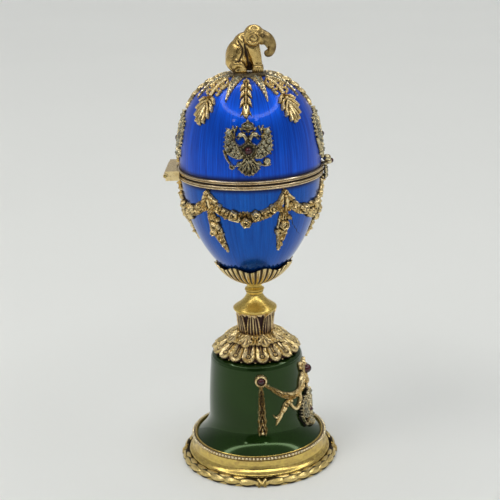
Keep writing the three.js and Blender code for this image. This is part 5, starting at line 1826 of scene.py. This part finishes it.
# ------------------------------------------------------------------ clasp and hinge
def make_clasp():
    """The clasp flower and the thumb piece with their stones."""
    low, high = mm_box("clasp_flower")
    centre = (low + high) / 2

    def front(turn, across, down, proud):
        across, down, proud = np.broadcast_arrays(*(np.asarray(x, float) for x in (across, down, proud)))
        return np.stack([low[0] + proud, across, centre[2] - down], -1)

    half = (high[2] - low[2]) / 2
    piece = Relief((-half, -half), (half, half), 0.13)

    def petals(rho, angle):
        lobe = np.abs(np.cos(angle * 3)) ** 0.6
        edge = half * (0.72 + 0.28 * lobe - rho)
        return np.minimum(0.55 + 0.35 * step_up(rho, 0.3,
                                                0.85) * lobe - 0.2 * np.exp(-((rho - 0.42) / 0.06) ** 2),
                          STEEP * edge)

    piece.polar(0, 0, half, petals)
    work = Work()
    piece.lay(work, front, 0, sink=0.0)
    dome(work, front, 0, 0, 0, 1.0, 0.3, 1.5, sides=24, rings=6)
    for u, v in ring_of(12, 1.45):
        dome(work, front, 0, u, v, 0.2, 0.4, 0.95, sides=6, rings=2)
    work.build("clasp_rosette", metal("chased_silver_gilt"), "lid", ["clasp_flower"])
    stones = Work()
    for u, v in ring_of(6, half * 0.66):
        dome(stones, front, 0, u, v, 0.6, 0.5, 1.5, sides=10, rings=3)
    stones.build("clasp_stones", pale_stone(), "lid", ())

    low, high = mm_box("clasp_stud")
    knob = Work()
    outline = curve([[0, -1.0], [0.75, -0.85], [1.35, -0.2], [1.6, 0.7], [1.35, 1.5], [0.8, 1.9],
                     [0, 2.05]], 5)
    outline[:, 0] = np.maximum(outline[:, 0], 0)
    spin = Work()
    turn_up(spin, outline, 32)
    shift = [low[0] + 0.55, 0, high[2] - 2.2]
    knob.add(spin.points[0] * [1.2, 1.2, 1] + shift, spin.faces, 0.0)
    ball = ball_points(20, 12)
    knob.add(ball[0] * [1.5, 1.7, 1.5] + [low[0] + 1.5, 0, low[2] + 1.3], ball[1], 0.3)
    knob.add(ball[0] * [1.6, 2.4, 0.9] + [low[0] - 0.4, 0, low[2] + 0.2], ball[1], 0.5)
    knob.build("thumb_piece", metal("chased_silver_gilt"), "lid", ["clasp_stud"])
    stone = Work()
    stone.add(ball[0] * [1.0, 1.15, 1.15] + [high[0] - 1.15, 0, low[2] + 1.35], ball[1], 0.0)
    stone.build("thumb_cabochon", ruby(), "lid", ())


def make_hinge():
    """Gives the leaves and the pin of the hinge their finish."""
    for node in ("lid_hinge_leaf", "bowl_hinge_leaf"):
        dress_cad(node, metal("soft_gilt"), 0.25)
    dress_cad("hinge_pin", metal("polished_gilt"), 0.1)


# ------------------------------------------------------------------ the elephant
def limb(stations, sides=24, per=5):
    """A soft tapering body through stations (x, z, half depth, half width), at middle y."""
    s = curve([[a, b, c, d] for a, b, c, d in stations], per)
    along = np.gradient(s[:, :2], axis=0)
    along /= np.linalg.norm(along, axis=1)[:, None]
    angle = np.arange(sides) * 2 * math.pi / sides
    rows = []
    for (x, z, deep, wide), (ax, az) in zip(s, along):
        nx, nz = -az, ax
        rows.append(np.stack([x + nx * deep * np.cos(angle), wide * np.sin(angle),
                              z + nz * deep * np.cos(angle)], -1))
    for k, way in ((0, -1), (-1, 1)):
        x, z, deep, wide = s[k]
        tip = along[k] * way
        cap = [np.array([x + tip[0] * f * deep, 0, z + tip[1] * f * deep]) for f in (0.55, 0.85)]
        small = [(rows[k] - [x, 0, z]) * g + c for g, c in zip((0.83, 0.45), cap)]
        rows = small[::-1] + rows if k == 0 else rows + small
    points = np.array(rows)
    n = len(points)
    centre = points[[0, -1]].mean(1)
    flat = np.vstack([points.reshape(-1, 3), centre])
    ring, after = np.arange(sides), (np.arange(sides) + 1) % sides
    base = (n - 1) * sides
    faces = [grid_faces(n, sides, wrap=True), np.stack([after, ring, np.full(sides, n * sides)], -1),
             np.stack([base + ring, base + after, np.full(sides, n * sides + 1)], -1)]
    return flat, faces


def ellipsoid(centre, half, tilt=0.0):
    ball = ball_points(28, 18)
    t = math.radians(tilt)
    p = ball[0] * half
    x, z = p[:, 0] * math.cos(t) + p[:, 2] * math.sin(t), -p[:, 0] * math.sin(t) + p[:, 2] * math.cos(t)
    return np.stack([x + centre[0], p[:, 1] + centre[1], z + centre[2]], -1), ball[1]


def make_elephant():
    """The seated elephant with its trunk curled under, modelled as one fused body."""
    low, high = mm_box("elephant")
    floor = low[2]
    base = np.array([0, 0, floor + 0.3])
    rough = Work()

    def both(shape, y):
        points, faces = shape
        rough.add(points + [0, y, 0] + base, faces)
        rough.add(points * [1, -1, 1] + [0, -y, 0] + base, faces)

    def one(shape):
        rough.add(shape[0] + base, shape[1])

    one(ellipsoid((-4.1, 0, 6.9), (5.1, 4.9, 6.9), 14))
    one(ellipsoid((-5.4, 0, 4.0), (4.0, 5.1, 4.0), 0))
    one(ellipsoid((-1.6, 0, 11.4), (4.4, 4.3, 5.2), 32))
    one(ellipsoid((-0.9, 0, 5.0), (3.4, 3.4, 5.0), 0))
    one(ellipsoid((1.0, 0, 1.7), (2.0, 2.1, 1.9), 0))
    one(ellipsoid((3.2, 0, 14.9), (4.5, 3.7, 4.6), 0))
    one(ellipsoid((6.4, 0, 14.6), (3.0, 2.7, 2.9), 30))
    one(limb([(5.4, 14.0, 3.2, 2.7), (8.2, 13.4, 3.0, 2.4), (10.0, 11.8, 2.45, 2.05),
              (10.75, 9.9, 1.95, 1.75),
              (10.5, 8.0, 1.62, 1.5), (9.6, 6.75, 1.38, 1.3), (8.5, 6.6, 1.05, 1.05),
              (8.15, 7.5, 0.85, 0.85),
              (8.75, 8.2, 0.6, 0.6)], per=8))
    both(limb([(1.9, 12.2, 3.3, 1.7), (3.0, 8.6, 2.75, 1.7), (3.8, 5.4, 2.4, 1.6), (4.2, 2.7, 2.15, 1.55)]),
         2.5)
    both(limb([(4.3, 2.3, 2.35, 1.8), (4.4, 1.2, 2.55, 1.95), (4.45, 0.2, 2.6, 2.0)]), 2.55)
    both(ellipsoid((-5.3, 0, 4.4), (3.8, 2.3, 4.3), 0), 3.0)
    both(limb([(-5.9, 1.9, 1.9, 1.7), (-4.3, 3.4, 2.3, 1.8), (-2.6, 3.0, 2.0, 1.7),
               (-1.7, 1.5, 1.6, 1.55)]), 4.2)
    both(limb([(-4.6, 0.5, 0.9, 1.5), (-2.6, 0.6, 1.0, 1.6), (-0.9, 0.55, 0.95, 1.5)]), 4.2)
    both(ellipsoid((2.6, 0, 14.6), (3.2, 1.0, 3.3), 0), 3.5)
    both(limb([(3.6, 17.5, 0.6, 0.6), (0.9, 17.3, 0.62, 0.7), (-0.4, 15.2, 0.6, 0.7), (0.4, 12.7, 0.6, 0.7),
               (2.6, 11.6, 0.6, 0.6), (4.8, 12.4, 0.55, 0.55), (5.6, 14.2, 0.5, 0.5),
               (4.7, 15.9, 0.45, 0.5),
               (3.0, 16.0, 0.42, 0.5), (2.0, 14.7, 0.42, 0.5), (2.8, 13.7, 0.4, 0.45)], per=6), 4.3)
    both(limb([(7.8, 11.6, 0.65, 0.62), (8.6, 10.4, 0.5, 0.5), (8.9, 9.4, 0.3, 0.3)]), 1.9)
    one(limb([(-8.2, 8.0, 0.5, 0.5), (-9.0, 5.4, 0.45, 0.45), (-9.1, 3.0, 0.5, 0.5)]))
    body = rough.build("little_elephant", metal("elephant_gilt"), "lid", ["elephant"], sharp=60)
    fuse(body, 0.34, low, high)


def fuse(body, voxel, low, high):
    """Fuses the overlapping forms into one skin, then chases the folds into it."""
    remesh = body.modifiers.new("fused", "REMESH")
    remesh.mode, remesh.voxel_size, remesh.use_smooth_shade = "VOXEL", voxel * MM, True
    soften = body.modifiers.new("softened", "SMOOTH")
    soften.factor, soften.iterations = 0.5, 8
    shape = bpy.data.meshes.new_from_object(body.evaluated_get(bpy.context.evaluated_depsgraph_get()))
    old = body.data
    body.modifiers.clear()
    body.data = shape
    bpy.data.meshes.remove(old)
    count = len(shape.vertices)
    points = np.empty(count * 3)
    shape.vertices.foreach_get("co", points)
    points = points.reshape(-1, 3) / MM
    normals = np.empty(count * 3)
    shape.vertex_normals.foreach_get("vector", normals)
    normals = normals.reshape(-1, 3)
    depth, hollow = folds(points - [0, 0, low[2] + 0.3])
    points = points - normals * depth[:, None]
    points = np.clip(points, low + 0.02, high - 0.02)
    shape.vertices.foreach_set("co", (points * MM).ravel())
    shape.attributes.new("hollow", "FLOAT", "POINT").data.foreach_set("value", hollow.astype(np.float32))
    shape.polygons.foreach_set("use_smooth", np.ones(len(shape.polygons), bool))
    shape.update()


def near_line(points, line):
    """Distance of points to a line in the (x, z) plane."""
    line = np.asarray(line, float)
    far = np.full(len(points), 99.0)
    x, z = points[:, 0], points[:, 2]
    for a, b in zip(line[:-1], line[1:]):
        d = b - a
        s = np.clip(((x - a[0]) * d[0] + (z - a[1]) * d[1]) / (d @ d), 0, 1)
        far = np.minimum(far, np.hypot(x - a[0] - s * d[0], z - a[1] - s * d[1]))
    return far


def folds(p):
    """How deep the chasing cuts at each point, and how dark it is painted: painted shade and patina in the
    folds, and painted shade on the head and trunk, under the body and between the legs.
    """
    x, y, z = p.T
    depth = np.zeros(len(p))
    hollow = np.zeros(len(p))

    def cut(line, width, deep, where):
        nonlocal depth, hollow
        mark = np.exp(-((near_line(p, curve(line, 5)) / width) ** 2)) * where
        depth = np.maximum(depth, mark * deep)
        hollow = np.maximum(hollow, mark)

    outside = np.abs(y) > 1.9
    for k in range(9):
        s = k / 8
        cx, cz = (np.interp(s, [0, 0.35, 0.7, 1], c) for c in ([8.6, 10.6, 10.9, 9.7],
                                                               [13.6, 11.2, 8.4, 6.6]))
        ax, az = (np.interp(s, [0, 0.4, 0.75, 1], c) for c in ([0.75, 0.95, 1.0, 0.5],
                                                               [0.6, 0.25, -0.25, -0.9]))
        cut([(cx - ax * 1.0, cz - az * 1.0), (cx + ax * 1.3, cz + az * 1.3)], 0.2, 0.1, (x > 7.4) * 0.5)
    cut([(3.6, 14.3), (3.0, 15.2), (1.6, 14.4), (2.2, 12.9), (4.2, 12.9), (5.0, 14.4), (4.2, 15.4)], 0.3,
        0.3,
        (np.abs(y) > 3.6) * 0.9)
    cut([(3.8, 18.3), (0.2, 18.2), (-1.5, 15.6), (-0.6, 12.0), (2.4, 10.4), (5.6, 11.3), (6.8, 14.4),
         (5.8, 17.2)],
        0.34, 0.3, (np.abs(y) > 2.6) * 0.95)
    cut([(-3.6, 13.1), (-1.5, 9.3), (-2.3, 6.4), (-3.4, 4.6)], 0.5, 0.6, outside * 1.0)
    cut([(-2.6, 12.2), (-3.4, 11.0)], 0.3, 0.25, outside * 0.8)
    cut([(-1.9, 9.6), (-3.2, 8.6)], 0.3, 0.25, outside * 0.8)
    cut([(-0.7, 11.4), (-0.2, 8.4), (0.4, 5.1), (1.2, 0.8)], 0.65, 0.7, outside * 1.0)
    cut([(-4.9, 4.3), (-2.9, 5.0), (-1.2, 4.0), (-0.4, 2.2)], 0.36, 0.35, (np.abs(y) > 3.0) * 0.9)
    cut([(-6.7, 5.1), (-5.2, 5.9), (-3.6, 5.9)], 0.24, 0.16, outside * 0.6)
    cut([(-7.0, 3.9), (-5.4, 4.7), (-4.4, 4.9)], 0.2, 0.12, outside * 0.5)
    cut([(-6.9, 3.6), (-6.6, 1.8), (-5.6, 0.9)], 0.28, 0.24, (np.abs(y) > 3.0) * 0.8)
    cut([(1.4, 2.5), (7.2, 2.3)], 0.26, 0.3, (x > 1.6) * 0.9)
    for k in range(4):
        cut([(2.9 + k * 1.0, 0.0), (2.9 + k * 1.0, 1.0)], 0.15, 0.18, (x > 1.8) * 0.9)
    cut([(3.4, 10.2), (4.6, 8.2), (4.4, 5.4), (5.0, 3.2)], 0.24, 0.14, outside * 0.5)
    cut([(7.4, 12.9), (9.0, 11.9), (9.4, 9.4)], 0.26, 0.2, (np.abs(y) > 1.2) * 0.8)
    eye = np.hypot(x - 7.0, z - 14.9)
    ring = np.exp(-(((eye - 0.7) / 0.24) ** 2)) * (np.abs(y) > 1.4)
    depth = np.maximum(depth, ring * 0.3)
    depth -= np.exp(-((eye / 0.4) ** 2)) * 0.15 * (np.abs(y) > 1.4)
    hollow = np.maximum(hollow, ring)
    cut([(5.9, 16.2), (6.8, 16.5), (8.2, 15.7)], 0.2, 0.2, (np.abs(y) > 1.0) * 1.0)
    cut([(7.6, 17.2), (8.2, 16.2), (9.2, 15.3)], 0.2, 0.14, (np.abs(y) < 1.6) * 0.6)
    # Painted shade: the head and trunk, on the side away from the light, are darker.
    hollow = np.maximum(hollow, 0.6 * step_up(x, 4.4, 7.6))
    # Painted shade under the body, between the legs and in the recess between the fore and hind legs.
    inner = step_up(z, 1.0, 0.1) * 0.6 + step_up(np.abs(y), 1.2,
                                                 0.4) * (z < 10.5) * (x > -1) * (x < 6.4) * 0.9
    gap = step_up(np.abs(y), 3.0, 2.4) * (x > -2.4) * (x < 2.2) * (z < 9.0) * 0.9
    return depth, np.clip(np.maximum(hollow, np.maximum(inner, gap)), 0, 1)


# ------------------------------------------------------------------ add-on
def tone(name, text, default):
    return bpy.props.FloatVectorProperty(name=name, description=text, subtype="COLOR", size=3, min=0, max=1,
                                         default=default)


def length_property(name, text, default, least, most):
    """A length property. It is given in millimetres and held in metres."""
    return bpy.props.FloatProperty(name=name, description=text, default=default * MM, min=least * MM,
                                   max=most * MM, precision=5, unit="LENGTH", subtype="DISTANCE")


def count_property(name, text, default, least, most):
    return bpy.props.IntProperty(name=name, description=text, default=default, min=least, max=most)


class EggSizes(bpy.types.PropertyGroup):
    """Sizes and counts that the frame leaves open."""

    wall: length_property("Wall", "Thickness of the two enamelled shells", 1.5, 0.5, 4)
    crown_radius: length_property("Crown plate radius", "Radius of the plate under the elephant", 9.6, 8,
                                  12)
    bead_radius: length_property("Bead radius", "Radius of the beads round the foot", 0.66, 0.2, 1)
    broad_leaf: length_property("Broad leaf", "Length of the broad leaves of the wreath", 9.8, 4, 14)
    narrow_leaf: length_property("Narrow leaf", "Length of the narrow leaves of the wreath", 8.0, 3, 12)
    crown_rays: count_property("Crown rays", "Jewelled rays round the crown plate", 8, 4, 12)
    flutes: count_property("Flutes", "Flutes round the calyx", 40, 12, 80)
    scallops: count_property("Scallops", "Waves in the edge of the calyx", 8, 3, 16)
    palm_leaves: count_property("Palm leaves", "Leaves round the drum", 7, 3, 12)
    lower_petals: count_property("Lower petals", "Petals in the lower tier of the collar", 18, 9, 24)
    upper_petals: count_property("Upper petals", "Petals in the upper tier of the collar", 9, 5, 12)
    beads: count_property("Beads", "Beads round the foot", 118, 24, 160)
    wreath_leaves: count_property("Wreath leaves", "Rows of leaves in each quarter of the wreath", 7, 3, 12)


class EggFinish(bpy.types.PropertyGroup):
    """Colours of the metals, the enamel and the stone."""

    gilt: tone("Gilt", "Colour of the chased gilt mounts", (0.88, 0.7, 0.37))
    polished_gilt: tone("Polished gilt", "Colour of the smooth gilt parts", (0.8, 0.6, 0.17))
    lid_light: tone("Lid enamel, light", "Bright tone of the lid enamel", (0.001, 0.12, 0.85))
    lid_deep: tone("Lid enamel, deep", "Deep tone of the lid enamel", (0.0, 0.04, 0.42))
    bowl_light: tone("Bowl enamel, light", "Bright tone of the bowl enamel", (0.004, 0.12, 0.56))
    bowl_deep: tone("Bowl enamel, deep", "Deep tone of the bowl enamel", (0.001, 0.05, 0.32))
    stone: tone("Nephrite", "Colour of the green stone bell", (0.008, 0.026, 0.003))


class EggStage(bpy.types.PropertyGroup):
    """Floor, walls and lamps."""

    floor_tone: tone("Floor", "Colour of the floor", (0.8, 0.815, 0.785))
    backdrop_tone: tone("Backdrop", "Colour behind the egg", (0.68, 0.7, 0.68))
    world_strength: bpy.props.FloatProperty(name="World strength",
                                            description="Brightness of the studio walls",
                                            default=0.88, min=0, max=4)
    key_power: bpy.props.FloatProperty(name="Key lamp power", description="Power of the main soft box",
                                       default=5.0, min=0, max=200, unit="POWER")


class EGG_OT_shells(bpy.types.Operator):
    """Build the two enamelled shells with their rims"""

    bl_idname = "egg.shells"
    bl_label = "Enamelled shells and rims"

    def execute(self, context):
        make_shell("lid_shell", LID, 1, "lid", enamel("lid", 70.0, 0.6, 0.36))
        make_shell("bowl_shell", BOWL, -1, "stand", enamel("bowl", 45.0, 0.75, 0.2))
        make_rim("lid_rim", 1, "lid")
        make_rim("bowl_rim", -1, "stand")
        make_crack()
        return {"FINISHED"}


class EGG_OT_lid_mounts(bpy.types.Operator):
    """Build the crown star, the husk chains, the acanthus sprays and the eagles of the lid"""

    bl_idname = "egg.lid_mounts"
    bl_label = "Mounts of the lid"

    def execute(self, context):
        make_crown()
        make_lid_mounts()
        return {"FINISHED"}


class EGG_OT_elephant(bpy.types.Operator):
    """Model the seated elephant on the crown"""

    bl_idname = "egg.elephant"
    bl_label = "Elephant"

    def execute(self, context):
        make_elephant()
        return {"FINISHED"}


class EGG_OT_clasp(bpy.types.Operator):
    """Build the clasp and finish the hinge"""

    bl_idname = "egg.clasp"
    bl_label = "Clasp and hinge"

    def execute(self, context):
        make_clasp()
        make_hinge()
        return {"FINISHED"}


class EGG_OT_garlands(bpy.types.Operator):
    """Build the rose swags and bow drops of the bowl"""

    bl_idname = "egg.garlands"
    bl_label = "Garlands of the bowl"

    def execute(self, context):
        make_garlands()
        return {"FINISHED"}


class EGG_OT_support(bpy.types.Operator):
    """Build the calyx, the stem, the palm drum and the petal collar"""

    bl_idname = "egg.support"
    bl_label = "Calyx, stem, drum and collar"

    def execute(self, context):
        make_calyx()
        make_stem()
        make_drum()
        make_collar()
        return {"FINISHED"}


class EGG_OT_bell(bpy.types.Operator):
    """Build the stone bell with its mounts"""

    bl_idname = "egg.bell"
    bl_label = "Stone bell"

    def execute(self, context):
        make_bell()
        make_bell_mounts()
        return {"FINISHED"}


class EGG_OT_foot(bpy.types.Operator):
    """Build the foot with its beads and laurel wreath"""

    bl_idname = "egg.foot"
    bl_label = "Foot"

    def execute(self, context):
        make_foot()
        make_beads()
        make_wreath()
        return {"FINISHED"}


class EGG_OT_stage(bpy.types.Operator):
    """Set the floor, the studio light and the camera"""

    bl_idname = "egg.stage"
    bl_label = "Stage"

    def execute(self, context):
        make_stage()
        return {"FINISHED"}


STEPS = (EGG_OT_shells, EGG_OT_lid_mounts, EGG_OT_elephant, EGG_OT_clasp, EGG_OT_garlands, EGG_OT_support,
         EGG_OT_bell,
         EGG_OT_foot, EGG_OT_stage)


class EGG_PT_panel(bpy.types.Panel):
    """Buttons that build the egg piece by piece"""

    bl_idname = "EGG_PT_panel"
    bl_label = "Jewelled egg"
    bl_space_type = "VIEW_3D"
    bl_region_type = "UI"
    bl_category = "Jewelled egg"

    def draw(self, context):
        for step in STEPS:
            self.layout.operator(step.bl_idname)
        scene = context.scene
        for group in (scene.egg_sizes, scene.egg_finish, scene.egg_stage):
            box = self.layout.box()
            for key in group.__annotations__:
                box.prop(group, key)


CLASSES = (EggSizes, EggFinish, EggStage, *STEPS, EGG_PT_panel)


def register():
    for item in CLASSES:
        bpy.utils.register_class(item)
    bpy.types.Scene.egg_sizes = bpy.props.PointerProperty(type=EggSizes)
    bpy.types.Scene.egg_finish = bpy.props.PointerProperty(type=EggFinish)
    bpy.types.Scene.egg_stage = bpy.props.PointerProperty(type=EggStage)


def unregister():
    del bpy.types.Scene.egg_sizes
    del bpy.types.Scene.egg_finish
    del bpy.types.Scene.egg_stage
    for item in reversed(CLASSES):
        bpy.utils.unregister_class(item)


def main():
    register()
    for step in STEPS:
        group, name = step.bl_idname.split(".")
        done = getattr(getattr(bpy.ops, group), name)()
        if done != {"FINISHED"}:
            raise RuntimeError(step.bl_label + " was not built")


if __name__ == "__main__":
    main()
